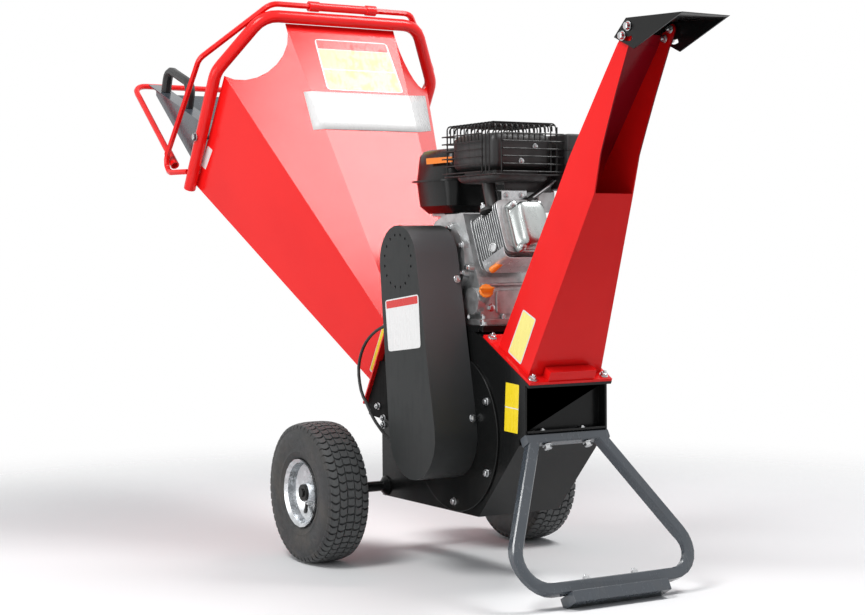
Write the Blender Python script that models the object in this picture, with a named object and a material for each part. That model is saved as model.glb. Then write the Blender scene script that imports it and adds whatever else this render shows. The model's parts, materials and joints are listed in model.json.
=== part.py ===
"""Petrol wood chipper on two wheels and a stand.

Units are metres and +Z is up.  The working axes have x = 0 at the wheel axle,
y = 0 on the machine's middle plane and z = 0 on the ground.  +X is the
discharge end, -X the hopper end, and the belt guard is on the -Y side.
"""
import math

import bmesh
import bpy
from mathutils import Matrix, Vector

# Clearances
GAP = 0.0003            # between pieces that touch
RUN = 0.0010            # between a turning piece and what it turns in

# Wheels and axle
WHEEL_R = 0.165         # tyre radius
WHEEL_Y = 0.291         # wheel centre from the middle plane
TREAD_HALF = 0.046      # half width of the tread
RIM_R = 0.080           # radius of the rim's lip
TYRE_STEPS = 28
AXLE_R = 0.0125
AXLE_COLLAR = 0.020     # radius of the collars each side of a hub
HUB_HALF = 0.036
HUB_BORE = AXLE_R + GAP

# Rotor housing
HOUSE_HALF = 0.107      # half width over the side plates
PLATE = 0.005           # housing plate thickness
FLOOR_Z = 0.141
REAR_X = -0.018
ROTOR_X, ROTOR_Z = 0.318, 0.321
COVER_R = 0.178         # bolted round cover
SERVICE_R = 0.150       # hole behind the cover
SHAFT_R = 0.0175
BEARING_R = 0.047
DECK_Z = 0.548          # top of the housing
FLANGE_REAR = (0.413, 0.5417)
FLANGE_ANGLE = math.radians(27.95)
FLANGE_T = 0.006
FLANGE_FRONT_X = 0.609
FRONT_X = 0.595         # front edge of the side plates
FRONT_WALL_X = 0.572    # set-back front wall, outer face

# Rotor
DRUM_R = 0.130
DRUM_SIDE_GAP = 0.010   # between the drum's ends and the side plates
DRUM_HALF = HOUSE_HALF - PLATE - DRUM_SIDE_GAP
DRUM_IN_R = 0.100       # recesses in both ends of the drum
DRUM_HUB_R = 0.034
DRUM_WEB = 0.012        # half thickness of the web between the recesses
KNIFE_R = 0.142         # cutting circle
PULLEY_Y = -0.172       # belt line
DRIVEN_R = 0.080
DRIVE_R = 0.056
GROOVE = 0.010
BELT_HALF = 0.013

# Belt guard
CRANK_X, CRANK_Z = 0.262, 0.705
GUARD_TOP_R = 0.080
GUARD_LOW_R = 0.100
GUARD_FACE_Y = -0.222
GUARD_WALL = 0.002
VENTS = 16
VENT_RING_R = 0.059
VENT_R = 0.0038

# Hopper
HOPPER_LEAN = math.radians(31.3)
THROAT = (-0.052, 0.404)        # foot of the throat plane, x and z
THROAT_H = 0.156                # side height at the throat
MOUTH_OUT = 0.780               # mouth plane from the throat plane
MOUTH_RISE = 0.1064             # shift of the mouth along its own plane
RIM_TUBE_R = 0.016
RIM_Y = 0.322
RIM_SIDE = 0.340                # leg length to the chamfer
RIM_TOP = 0.504
RIM_TOP_Y = 0.225
SHEET = 0.003
MOUTH_TOP_Y = 0.160             # half width of the top panel at the mouth
BITE = 0.076                    # depth of the round cut-outs
FLANGE_H = 0.005                # throat flange
HINGE_X, HINGE_Z = -0.037, 0.353
EAR_R = 0.014

# Hoops at the mouth
HOOP_R = 0.008
HOOP_Y = 0.350
HOOP_LOW = (-0.793, 0.943)
HOOP_KNEE = (-0.527, 1.227)
HOOP_TOP = (-0.400, 1.362)
HOOP_BENDS = (0.031, 0.040)     # bend radii at the low corner and above it
HOOP_ROOT = 0.0237              # the hoop's end from the rim tube's axis
HOOP_TOP_Y = 0.205
GRIP_HALF = 0.098
BAR_FOOT = (-0.754, 0.972)
BAR_ANGLE = math.radians(39.0)
BAR_LENGTH = 0.366
FERRULE_R = 0.012
BAR_Y = HOOP_Y - HOOP_R - FERRULE_R - GAP

# Feed tray
TRAY_HALF = 0.290
TRAY_TIP = (-0.968, 1.171)
TRAY_TIP_TOP = (-0.968, 1.187)
TRAY_ROOT = (-0.645, 0.920)
TRAY_ROOT_TOP = (-0.600, 1.0535)
TRAY_SHEET = 0.003
TRAY_FLANGE = 0.045
TRAY_EAR = 0.057                # flange past the tip
TRAY_PIVOT_V = 0.152            # pivot height along the rim leg
PIVOT_R = 0.006
HANDLE_FEET = (0.020, 0.185)    # distances along the flange from its tip
HANDLE_H = 0.066
HANDLE_HALF = (0.0120, 0.0145)  # in its own plane and across

# Chute and deflector
CHUTE_T = 0.003
CHUTE_BASE_HALF = 0.095
CHUTE_TOP_HALF = 0.050
CHUTE_BACK = [(0.478, 0.520), (0.639, 0.857), (0.680, 0.919), (0.726, 0.979), (0.790, 1.062), (0.847, 1.135)]
CHUTE_FRONT = [(0.588, 0.4592), (0.764, 0.8395), (0.786, 0.919), (0.810, 0.974), (0.838, 1.036), (0.880, 1.1225)]
BLOCK = (0.120, 0.022)          # welded block on the flange: length and side
CAP_PIVOT = (0.8915, 1.1637)
CAP_SLOT_PIN = (0.8734, 1.1466)
CAP_HALF = 0.059
CAP_T = 0.003
CAP_REAR = (0.844, 1.147)
CAP_CREST = (0.883, 1.181)
CAP_TIP = (1.056, 1.172)
CAP_LOW = (0.907, 1.118)
CAP_PIN_R = 0.004
CAP_TURN = math.radians(60.0)

# Stand
TUBE = 0.025
LEG_LEAN = math.radians(30.0)
CROSS = (0.592, 0.322)          # centre of the crossbar, x and z
CROSS_T = 0.020                 # crossbar thickness down the stand
LEG_SPREAD = math.radians(28.0)
LEG_LENGTH = 0.3257             # crossbar centre to foot bar centre
LOOP_R = 0.0645
LOOP_Y = 0.1525                 # bend centre from the middle plane
BEND_FLAT = 0.40                # share of its depth that the tube loses in its bends
LEDGE_HALF = 0.016
PAD = (0.050, 0.025, 0.123)     # width, thickness, half length

# Engine
BASE_Z = 0.563
PLATFORM = (0.100, 0.432, 0.135)        # rear x, front x, far y
PTO_Y = -0.100
CASE_Y = 0.085
CASE_X = (0.158, 0.392)
BASE_FLANGE = 0.012
CYL_ANGLE = math.radians(22.0)
CYL_START, HEAD_START, ROCKER_START, ROCKER_END = 0.095, 0.138, 0.205, 0.246
CYL_Y = -0.006
FIN_HALF = 0.062
BARREL_HALF = 0.050
FINS = 4
HEAD_FINS = 6
PORT = (0.159, 0.045, -0.047)    # exhaust port face on the head: out, up and y of its middle
ROCKER_HALF = (0.052, 0.044)
ROCKER_LOW = 0.066              # the cover's reach below the cylinder's axis
TANK = (0.062, 0.236, -0.069, 0.128, 0.815, 0.965)
TANK_SEAM_Z = 0.890
MUFFLER = (0.266, 0.440, -0.082, 0.076, 0.905, 0.986)
CAGE = (0.2575, 0.455, -0.096, 0.088, 0.897, 1.006)
CAGE_WIRE = 0.0032
PAN_T = 0.003                   # pan under the muffler, on which the cage stands
CAGE_CELLS = (8, 6, 5)
AIRBOX = (0.345, 0.470, 0.0975, 0.205, 0.862, 0.985)
CARB = (0.350, 0.400, 0.0615, 0.1120, 0.812)
LEVER_T = 0.003
STOP_BOX = (0.128, 0.1515, 0.097, 0.135, 0.680, 0.730)
PULL_ANGLE = math.radians(160.0)
BLOWER_R = 0.110
BLOWER_Y = (0.0853, 0.148)
RECOIL_R = 0.088
RECOIL_Y = 0.182
CRANK_R = 0.0127

# Safety switch and its cable
SWITCH = (0.086, 0.126, 0.262, 0.292)
SWITCH_DEPTH = 0.024
CABLE_R = 0.0038
CABLE_ROUTE = [
    (0.0597, -0.1200, 0.2770), (0.030, -0.1240, 0.2880), (0.002, -0.1400, 0.3260), (-0.018, -0.1470, 0.3600),
    (-0.043, -0.1500, 0.3930), (-0.054, -0.1500, 0.4480), (-0.030, -0.1500, 0.4970), (0.014, -0.1500, 0.5300),
    (0.066, -0.1490, 0.5500), (0.104, -0.1400, 0.5560), (0.116, -0.1250, 0.5560)]
CABLE_END = (0.116, 0.556)

# Machine ends, which set the middle of the part along X
BAR_END_X = BAR_FOOT[0] - BAR_LENGTH * math.cos(BAR_ANGLE) - HOOP_R
MIDDLE_X = 0.5 * (BAR_END_X + CAP_TIP[0])

RED = ((0.620, 0.020, 0.014), 0.28, 0.0)
BLACK = ((0.012, 0.012, 0.013), 0.36, 0.0)
SLATE = ((0.085, 0.100, 0.118), 0.42, 0.2)
PLASTIC = ((0.020, 0.020, 0.021), 0.55, 0.0)
RUBBER = ((0.016, 0.016, 0.016), 0.85, 0.0)
ZINC = ((0.620, 0.620, 0.600), 0.32, 1.0)
STEEL = ((0.420, 0.420, 0.410), 0.38, 1.0)
ALLOY = ((0.560, 0.555, 0.540), 0.42, 0.9)
ORANGE = ((0.900, 0.230, 0.010), 0.45, 0.0)

for old in list(bpy.data.objects):
    bpy.data.objects.remove(old, do_unlink=True)


def along(angle, distance):
    """(x, z) step of a distance at an angle above +X."""
    return distance * math.cos(angle), distance * math.sin(angle)


def throat_point(y, up, out):
    """Point by its height up and distance out from the throat plane."""
    x = THROAT[0] + up * math.sin(HOPPER_LEAN) - out * math.cos(HOPPER_LEAN)
    z = THROAT[1] + up * math.cos(HOPPER_LEAN) + out * math.sin(HOPPER_LEAN)
    return Vector((x, y, z))


def flange_point(distance, height, y=0.0):
    """Point along the slanting discharge flange, from its rear edge."""
    dx, dz = along(-FLANGE_ANGLE, distance)
    nx, nz = along(math.pi / 2 - FLANGE_ANGLE, height)
    return Vector((FLANGE_REAR[0] + dx + nx, y, FLANGE_REAR[1] + dz + nz))


def stand_point(y, down, front=0.0):
    """Point in the stand's leaning plane, from the crossbar's centre."""
    x = CROSS[0] + down * math.sin(LEG_LEAN) + front * math.cos(LEG_LEAN)
    z = CROSS[1] - down * math.cos(LEG_LEAN) + front * math.sin(LEG_LEAN)
    return Vector((x, y, z))


def cylinder_point(out, up=0.0, y=None):
    """Point on the engine's cylinder axis, out from the crank."""
    x = CRANK_X + out * math.cos(CYL_ANGLE) - up * math.sin(CYL_ANGLE)
    z = CRANK_Z + out * math.sin(CYL_ANGLE) + up * math.cos(CYL_ANGLE)
    return Vector((x, CYL_Y if y is None else y, z))


def rim_point(y, up):
    """Point in the mouth plane, up from the foot of the rim's legs."""
    return throat_point(y, MOUTH_RISE + up, MOUTH_OUT)


TRAY_PIVOT = rim_point(0.0, TRAY_PIVOT_V)
TRAY_SLOPE = math.atan2(TRAY_ROOT_TOP[1] - TRAY_TIP_TOP[1], TRAY_ROOT_TOP[0] - TRAY_TIP_TOP[0])

BODIES = {
    "chassis": (0.0, 0.0, 0.0),
    "wheel_near": (0.0, -WHEEL_Y, WHEEL_R),
    "wheel_far": (0.0, WHEEL_Y, WHEEL_R),
    "rotor": (ROTOR_X, 0.0, ROTOR_Z),
    "crank": (CRANK_X, 0.0, CRANK_Z),
    "deflector": (CAP_PIVOT[0], 0.0, CAP_PIVOT[1]),
    "hopper": (HINGE_X, 0.0, HINGE_Z),
    "tray": tuple(TRAY_PIVOT),
    "outer_bar": (BAR_FOOT[0], 0.0, BAR_FOOT[1]),
    "throttle": (0.292, 0.108, CRANK_Z + BLOWER_R + 0.004),
    "choke": (0.382, CARB[3], 0.845),
    "fuel_tap": (0.392, CARB[3], 0.822),
    "fuel_cap": (0.150, 0.060, TANK[5]),
    "dipstick": (0.4215, -0.090, 0.640),
    "recoil": (CRANK_X + RECOIL_R * math.cos(PULL_ANGLE), 0.166, CRANK_Z + RECOIL_R * math.sin(PULL_ANGLE)),
    "engine_switch": (0.5 * (STOP_BOX[0] + STOP_BOX[1]), STOP_BOX[3], 0.705),
}

machine = bpy.data.objects.new("machine_frame", None)
machine.location = (-MIDDLE_X, 0.0, 0.0)
bpy.context.scene.collection.objects.link(machine)
PARENT = {}
for body, place in BODIES.items():
    empty = bpy.data.objects.new(body + "_axis", None)
    empty.location = place
    empty.parent = machine
    bpy.context.scene.collection.objects.link(empty)
    PARENT[body] = empty


def solid(bm):
    """Mesh of a closed bmesh, with its faces turned outward."""
    bmesh.ops.remove_doubles(bm, verts=bm.verts, dist=0.000001)
    bmesh.ops.delete(bm, geom=[edge for edge in bm.edges if not edge.link_faces], context="EDGES")
    bmesh.ops.recalc_face_normals(bm, faces=bm.faces)
    mesh = bpy.data.meshes.new("solid")
    bm.to_mesh(mesh)
    bm.free()
    return mesh


def loft(rings, ring_closed=False):
    """Solid through rings of points, capped or joined end to end."""
    bm = bmesh.new()
    rows = [[bm.verts.new(point) for point in ring] for ring in rings]
    following = rows[1:] + rows[:1] if ring_closed else rows[1:]
    for low, high in zip(rows, following):
        for i in range(len(low)):
            j = (i + 1) % len(low)
            bm.faces.new((low[i], low[j], high[j], high[i]))
    if not ring_closed:
        bm.faces.new(rows[0])
        bm.faces.new(rows[-1])
    return solid(bm)


def prism(outline, y0, y1):
    """Solid of an (x, z) outline carried from y0 to y1."""
    return loft([[(x, y0, z) for x, z in outline], [(x, y1, z) for x, z in outline]])


def box(x0, x1, y0, y1, z0, z1):
    """Solid block by its limits."""
    return prism([(x0, z0), (x1, z0), (x1, z1), (x0, z1)], y0, y1)


def turned(profile, x, z, steps):
    """Solid of a closed (radius, y) profile turned about the Y line at x, z."""
    rings = []
    for step in range(steps):
        angle = 2 * math.pi * step / steps - math.pi / 2
        rings.append([(x + r * math.cos(angle), y, z + r * math.sin(angle)) for r, y in profile])
    return loft(rings, ring_closed=True)


def disc(x, z, radius, y0, y1, steps=24):
    """Round solid along Y."""
    outline = [(x + radius * math.cos(2 * math.pi * i / steps), z + radius * math.sin(2 * math.pi * i / steps))
               for i in range(steps)]
    return prism(outline, y0, y1)


def rod(start, end, radius, steps=12):
    """Round solid between two points."""
    start, end = Vector(start), Vector(end)
    axis = (end - start).normalized()
    side = axis.orthogonal().normalized()
    other = axis.cross(side)
    ring = []
    for i in range(steps):
        angle = 2 * math.pi * i / steps
        ring.append(side * radius * math.cos(angle) + other * radius * math.sin(angle))
    return loft([[start + p for p in ring], [end + p for p in ring]])


def filleted(corners, radius, steps=4):
    """Path with each inner corner rounded to a radius."""
    path = [Vector(corners[0])]
    for before, corner, after in zip(corners, corners[1:], corners[2:]):
        before, corner, after = Vector(before), Vector(corner), Vector(after)
        into = (corner - before).normalized()
        out = (after - corner).normalized()
        turn = into.angle(out)
        reach = radius * math.tan(turn / 2)
        start = corner - into * reach
        centre = start + (out - into * into.dot(out)).normalized() * radius
        axis = into.cross(out).normalized()
        for i in range(steps + 1):
            spin = Matrix.Rotation(turn * i / steps, 3, axis)
            path.append(centre + spin @ (start - centre))
    path.append(Vector(corners[-1]))
    return path


def sweep(path, section, normal, depths=None):
    """Solid of a section carried along a path that lies in one plane.

    depths gives, for each point of the path, the share of the section's depth
    that is left behind its front face, where a bend has flattened the tube.
    """
    front = max(b for a, b in section)
    rings = []
    last = len(path) - 1
    for i, point in enumerate(path):
        into = (path[i] - path[i - 1]).normalized() if i > 0 else (path[1] - path[0]).normalized()
        out = (path[i + 1] - path[i]).normalized() if i < last else into
        tangent = (into + out).normalized()
        side = normal.cross(tangent).normalized()
        mitre = 1.0 / max(0.2, into.dot(tangent))
        depth = depths[i] if depths else 1.0
        rings.append([point + side * a * mitre + normal * (front - (front - b) * depth) for a, b in section])
    return loft(rings)


def round_section(radius, steps=10):
    """Circle for a sweep."""
    return [(radius * math.cos(2 * math.pi * i / steps), radius * math.sin(2 * math.pi * i / steps))
            for i in range(steps)]


def bar_section(low, high, half, ease=0.0025):
    """Rectangle with eased corners for a sweep."""
    return [(high, half - ease), (high - ease, half), (low + ease, half), (low, half - ease),
            (low, ease - half), (low + ease, -half), (high - ease, -half), (high, ease - half)]


def stadium(top, low, top_r, low_r, steps=12):
    """Outline round two circles of unlike radius, as (x, z) points."""
    dx, dz = top[0] - low[0], top[1] - low[1]
    span = math.hypot(dx, dz)
    heading = math.atan2(dz, dx)
    flare = math.acos((low_r - top_r) / span)
    points = []
    for i in range(steps + 1):
        angle = heading - flare + 2 * flare * i / steps
        points.append((top[0] + top_r * math.cos(angle), top[1] + top_r * math.sin(angle)))
    for i in range(steps + 1):
        angle = heading + flare + (2 * math.pi - 2 * flare) * i / steps
        points.append((low[0] + low_r * math.cos(angle), low[1] + low_r * math.sin(angle)))
    return points


def add(name, mesh, body, look, bevel=0.0, bevel_angle=40.0, segments=2, sharp=35.0):
    """Object for one piece, with its own material, hung on its body's axis."""
    colour, roughness, metallic = look
    surface = bpy.data.materials.new(name)
    surface.use_nodes = True
    shader = surface.node_tree.nodes["Principled BSDF"]
    shader.inputs["Base Color"].default_value = (*colour, 1.0)
    shader.inputs["Roughness"].default_value = roughness
    shader.inputs["Metallic"].default_value = metallic
    mesh.materials.append(surface)
    mesh.shade_smooth()
    mesh.set_sharp_from_angle(angle=math.radians(sharp))
    piece = bpy.data.objects.new(name, mesh)
    piece.parent = PARENT[body]
    piece.location = -PARENT[body].location
    bpy.context.scene.collection.objects.link(piece)
    if bevel > 0.0:
        ease = piece.modifiers.new("eased_edges", "BEVEL")
        ease.width = bevel
        ease.segments = segments
        ease.limit_method = "ANGLE"
        ease.angle_limit = math.radians(bevel_angle)
    return piece


def tool(piece, mesh, operation):
    """Boolean of a hidden helper solid on a piece."""
    helper = bpy.data.objects.new(piece.name + "_tool", mesh)
    helper.parent = piece.parent
    helper.location = piece.location
    helper.hide_render = True
    helper.display_type = "WIRE"
    bpy.context.scene.collection.objects.link(helper)
    step = piece.modifiers.new(operation.lower(), "BOOLEAN")
    step.operation = operation
    step.solver = "EXACT"
    step.object = helper


def cut(piece, *meshes):
    """Take solids away from a piece."""
    for mesh in meshes:
        tool(piece, mesh, "DIFFERENCE")


def weld(piece, *meshes):
    """Join solids to a piece."""
    for mesh in meshes:
        tool(piece, mesh, "UNION")


# Rotor housing: two side plates, floor, set-back front wall, discharge flange
def flange_line(x):
    """Height of the side plates' slanting top edge."""
    return FLANGE_REAR[1] - (x - FLANGE_REAR[0]) * math.tan(FLANGE_ANGLE)


DIAGONAL = (0.411, FLOOR_Z)
DIAGONAL_SLOPE = 1.0702
LEDGE_DOWN = -(TUBE / 2 + GAP)


def ledge_line(x):
    """Height of the ledge's underside, on which the crossbar bears."""
    near = stand_point(0.0, LEDGE_DOWN)
    return near.z + (x - near.x) * math.tan(LEG_LEAN)


def diagonal_line(x):
    """Height of the housing's slanting lower front."""
    return DIAGONAL[1] + (x - DIAGONAL[0]) * DIAGONAL_SLOPE


throat_foot = throat_point(0.0, 0.0, -GAP)
throat_head = throat_point(0.0, (DECK_Z - THROAT[1]) / math.cos(HOPPER_LEAN), -GAP)
side_outline = [
    (REAR_X, FLOOR_Z), DIAGONAL, (FRONT_WALL_X, diagonal_line(FRONT_WALL_X)),
    (FRONT_WALL_X, ledge_line(FRONT_WALL_X)), (FRONT_X, ledge_line(FRONT_X)), (FRONT_X, flange_line(FRONT_X)),
    FLANGE_REAR, (0.400, DECK_Z), (throat_head.x, DECK_Z), (throat_foot.x, throat_foot.z), (REAR_X, 0.385)]
housing = add("housing", prism(side_outline, -HOUSE_HALF, HOUSE_HALF), "chassis", BLACK)
flange_length = (FLANGE_FRONT_X - FLANGE_REAR[0]) / math.cos(FLANGE_ANGLE)
flange_outline = [flange_point(0.004, -0.001), flange_point(flange_length, -0.001),
                  flange_point(flange_length, FLANGE_T), flange_point(0.004, FLANGE_T)]
weld(housing, prism([(p.x, p.z) for p in flange_outline], -HOUSE_HALF - 0.001, HOUSE_HALF + 0.001))
inner = HOUSE_HALF - PLATE
wall_in = FRONT_WALL_X - PLATE
throat_mid = throat_point(0.0, 0.008, 0.0)
throat_up = throat_point(0.0, 0.155, 0.0)
cavity = [
    (REAR_X + PLATE, FLOOR_Z + PLATE), (DIAGONAL[0] - 0.002, FLOOR_Z + PLATE), (wall_in, diagonal_line(wall_in) + 0.0075),
    (wall_in, flange_line(wall_in) - PLATE), (FLANGE_REAR[0], FLANGE_REAR[1] - PLATE), (0.400, DECK_Z - PLATE),
    (throat_up.x - 0.006, DECK_Z - PLATE), (throat_up.x - 0.030, DECK_Z - PLATE), (throat_mid.x - 0.040, throat_mid.z + 0.016),
    (throat_mid.x, throat_mid.z - 0.004), (REAR_X + PLATE, 0.388)]
cut(housing, prism(cavity, -inner, inner))
front_gap = [(FRONT_WALL_X, 0.25), (0.66, 0.25), (0.66, flange_line(0.66) - 0.0012),
             (FRONT_WALL_X, flange_line(FRONT_WALL_X) - 0.0012)]
cut(housing, prism(front_gap, -inner, inner))
window = [flange_point(0.082, -0.030), flange_point(0.172, -0.030), flange_point(0.172, 0.030), flange_point(0.082, 0.030)]
cut(housing, prism([(p.x, p.z) for p in window], -0.088, 0.088))
ledge = [stand_point(0.0, LEDGE_DOWN, -LEDGE_HALF), stand_point(0.0, LEDGE_DOWN, LEDGE_HALF),
         stand_point(0.0, LEDGE_DOWN - PLATE, LEDGE_HALF), stand_point(0.0, LEDGE_DOWN - PLATE, -LEDGE_HALF)]
weld(housing, prism([(p.x, p.z) for p in ledge], -inner - 0.001, inner + 0.001))
cut(housing, disc(ROTOR_X, ROTOR_Z, SERVICE_R, -HOUSE_HALF - 0.01, -inner + 0.01, 40))
cut(housing, disc(ROTOR_X, ROTOR_Z, SHAFT_R + RUN, inner - 0.01, HOUSE_HALF + 0.01, 20))
cut(housing, disc(0.0, WHEEL_R, AXLE_R + GAP, -0.2, 0.2, 20))

# Round bolted cover with the near bearing, and the far bearing
cover_back = -HOUSE_HALF - GAP
cover_face = cover_back - PLATE
cover = [(SHAFT_R + RUN, cover_back), (COVER_R, cover_back), (COVER_R, cover_face + 0.001), (COVER_R - 0.001, cover_face),
         (SHAFT_R + RUN, cover_face)]
add("rotor_cover", turned(cover, ROTOR_X, ROTOR_Z, 40), "chassis", BLACK)


def bearing_profile(seat, outward):
    """Flanged bearing housing, from its seat outward along Y."""
    bore = SHAFT_R + GAP
    return [(bore, seat), (BEARING_R, seat), (BEARING_R, seat + outward * 0.006), (0.036, seat + outward * 0.010),
            (0.034, seat + outward * 0.022), (bore, seat + outward * 0.022)]


near_seat = cover_face - GAP
far_seat = HOUSE_HALF + GAP
add("bearing_near", turned(bearing_profile(near_seat, -1), ROTOR_X, ROTOR_Z, 20), "chassis", STEEL)
add("bearing_far", turned(bearing_profile(far_seat, 1), ROTOR_X, ROTOR_Z, 20), "chassis", STEEL)

# Infeed floor, counter blade and the wrap round the drum
inside = inner - GAP
floor_top = Vector((REAR_X + PLATE + 0.0032, 0.0, 0.3850))
blade_tip = Vector((ROTOR_X, 0.0, ROTOR_Z)) + Vector((-math.cos(0.42), 0.0, -math.sin(0.42))) * (KNIFE_R + 0.002)
floor_run = (blade_tip - floor_top).normalized()
floor_up = Vector((-floor_run.z, 0.0, floor_run.x))
floor_end = blade_tip - floor_run * 0.045
slab = [floor_top, floor_end, floor_end - floor_up * 0.005, floor_top - floor_up * 0.005]
add("infeed_floor", prism([(p.x, p.z) for p in slab], -inside, inside), "chassis", STEEL)
blade_back = floor_end + floor_run * GAP
blade = [blade_back, blade_tip, blade_tip - floor_up * 0.008 - floor_run * 0.003, blade_back - floor_up * 0.012]
add("counter_blade", prism([(p.x, p.z) for p in blade], -inside, inside), "chassis", ZINC)
wrap_r = 0.160
wrap_outer = [(ROTOR_X + wrap_r * math.cos(math.radians(a)), ROTOR_Z + wrap_r * math.sin(math.radians(a)))
              for a in range(212, 348, 8)]
wrap_inner = [(ROTOR_X + (wrap_r - 0.004) * math.cos(math.radians(a)), ROTOR_Z + (wrap_r - 0.004) * math.sin(math.radians(a)))
              for a in range(212, 348, 8)]
guide = [(wall_in - GAP, flange_line(wall_in) - 0.030), (wall_in - 0.005, flange_line(wall_in) - 0.030)]
add("rotor_wrap", prism(wrap_outer + guide + wrap_inner[::-1], -inside, inside), "chassis", STEEL)

# Rotor: drum on its shaft, two knives, driven pulley
pulley_half = 0.018
shaft_out = PULLEY_Y - pulley_half - 0.008
shaft = [(0.0, shaft_out), (SHAFT_R - 0.003, shaft_out), (SHAFT_R - 0.003, -0.140), (SHAFT_R, -0.140),
         (SHAFT_R, -DRUM_HALF - 0.008), (DRUM_HUB_R, -DRUM_HALF - 0.003), (DRUM_HUB_R, -DRUM_WEB), (DRUM_IN_R, -DRUM_WEB),
         (DRUM_IN_R, -DRUM_HALF), (DRUM_R, -DRUM_HALF), (DRUM_R, DRUM_HALF), (DRUM_IN_R, DRUM_HALF), (DRUM_IN_R, DRUM_WEB),
         (DRUM_HUB_R, DRUM_WEB), (DRUM_HUB_R, DRUM_HALF + 0.003), (SHAFT_R, DRUM_HALF + 0.008),
         (SHAFT_R, far_seat + 0.026), (0.0, far_seat + 0.026)]
drum = add("rotor_drum", turned(shaft, ROTOR_X, ROTOR_Z, 20), "rotor", STEEL)


def drum_outline(turn, points):
    """(radial, tangential) points turned about the rotor axis."""
    c, s = math.cos(turn), math.sin(turn)
    return [(ROTOR_X + a * c - b * s, ROTOR_Z + a * s + b * c) for a, b in points]


pocket = [(0.108, -0.020), (0.150, -0.052), (0.150, 0.020), (0.108, 0.006)]
knife = [(0.1083, -0.0197), (KNIFE_R, -0.0395), (KNIFE_R - 0.002, -0.0315), (0.1083, -0.0115)]
for index, turn in enumerate((math.radians(75.0), math.radians(255.0))):
    cut(drum, prism(drum_outline(turn, pocket), -DRUM_HALF + 0.006, DRUM_HALF - 0.006))
    blade_solid = prism(drum_outline(turn, knife), -DRUM_HALF + 0.0063, DRUM_HALF - 0.0063)
    add("rotor_knife_%d" % (index + 1), blade_solid, "rotor", ZINC)


def pulley_profile(outer, bore):
    """Grooved pulley on the belt line, as (radius, y) points."""
    groove_in = outer - GROOVE
    return [(bore, PULLEY_Y - pulley_half), (outer, PULLEY_Y - pulley_half), (outer, PULLEY_Y - BELT_HALF),
            (groove_in, PULLEY_Y - BELT_HALF + 0.002), (groove_in, PULLEY_Y + BELT_HALF - 0.002),
            (outer, PULLEY_Y + BELT_HALF), (outer, PULLEY_Y + pulley_half), (bore, PULLEY_Y + pulley_half)]


add("driven_pulley", turned(pulley_profile(DRIVEN_R, SHAFT_R - 0.003 + GAP), ROTOR_X, ROTOR_Z, 24), "rotor", STEEL)
add("drive_pulley", turned(pulley_profile(DRIVE_R, CRANK_R + GAP), CRANK_X, CRANK_Z, 20), "crank", STEEL)
crank = [(0.0, shaft_out), (CRANK_R, shaft_out), (CRANK_R, PTO_Y + 0.007), (0.030, PTO_Y + 0.012), (0.030, -0.062),
         (0.0, -0.062)]
add("crankshaft", turned(crank, CRANK_X, CRANK_Z, 20), "crank", STEEL)

belt_low = 0.0006
belt_out = stadium((CRANK_X, CRANK_Z), (ROTOR_X, ROTOR_Z), DRIVE_R - GROOVE + 0.009, DRIVEN_R - GROOVE + 0.009)
belt_in = stadium((CRANK_X, CRANK_Z), (ROTOR_X, ROTOR_Z), DRIVE_R - GROOVE + belt_low, DRIVEN_R - GROOVE + belt_low * 2)
belt_rings = []
for (xo, zo), (xi, zi) in zip(belt_out, belt_in):
    half = BELT_HALF - 0.003
    belt_rings.append([(xo, PULLEY_Y - half, zo), (xo, PULLEY_Y + half, zo), (xi, PULLEY_Y + half - 0.001, zi),
                       (xi, PULLEY_Y - half + 0.001, zi)])
add("drive_belt", loft(belt_rings, ring_closed=True), "chassis", RUBBER)

# Belt guard: a deep pan over a back plate, with a ring of vents at its top
back_face = cover_face - GAP
pan = stadium((CRANK_X, CRANK_Z), (ROTOR_X, ROTOR_Z), GUARD_TOP_R, GUARD_LOW_R)
pan_in = stadium((CRANK_X, CRANK_Z), (ROTOR_X, ROTOR_Z), GUARD_TOP_R - GUARD_WALL, GUARD_LOW_R - GUARD_WALL)
guard = add("belt_guard", prism(pan, GUARD_FACE_Y, back_face), "chassis", BLACK)
cut(guard, prism(pan_in, GUARD_FACE_Y + GUARD_WALL, back_face + 0.02))
for i in range(VENTS):
    angle = 2 * math.pi * (i + 0.5) / VENTS
    hole = disc(CRANK_X + VENT_RING_R * math.cos(angle), CRANK_Z + VENT_RING_R * math.sin(angle), VENT_R,
                GUARD_FACE_Y - 0.01, GUARD_FACE_Y + 0.01, 6)
    cut(guard, hole)
tray_wall = GUARD_WALL + GAP
back = stadium((CRANK_X, CRANK_Z), (ROTOR_X, ROTOR_Z), GUARD_TOP_R - tray_wall, GUARD_LOW_R - tray_wall)
back_in = stadium((CRANK_X, CRANK_Z), (ROTOR_X, ROTOR_Z), GUARD_TOP_R - 0.005, GUARD_LOW_R - 0.005)
guard_back = add("belt_guard_back", prism(back, back_face - 0.024, back_face), "chassis", BLACK)
cut(guard_back, prism(back_in, back_face - 0.04, back_face - 0.003))
cut(guard_back, disc(ROTOR_X, ROTOR_Z, BEARING_R + 0.003, back_face - 0.02, back_face + 0.02, 24))
cut(guard_back, disc(CRANK_X, CRANK_Z, 0.034, back_face - 0.02, back_face + 0.02, 24))

# Engine platform
platform = add("engine_platform", box(PLATFORM[0], PLATFORM[1], -HOUSE_HALF, PLATFORM[2], DECK_Z + GAP, BASE_Z), "chassis",
               BLACK)
cut(platform, box(PLATFORM[0] + 0.004, PLATFORM[1] - 0.004, HOUSE_HALF + 0.004, PLATFORM[2] - 0.004, DECK_Z - 0.01,
                  BASE_Z - 0.004))
corner = flange_point(-0.002, 0.0)
cut(platform, prism([(p.x, p.z) for p in (flange_point(-0.002, -0.02), flange_point(0.10, -0.02), flange_point(0.10, 0.0135),
                                          flange_point(-0.002, 0.0135))], -0.2, 0.2))

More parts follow.
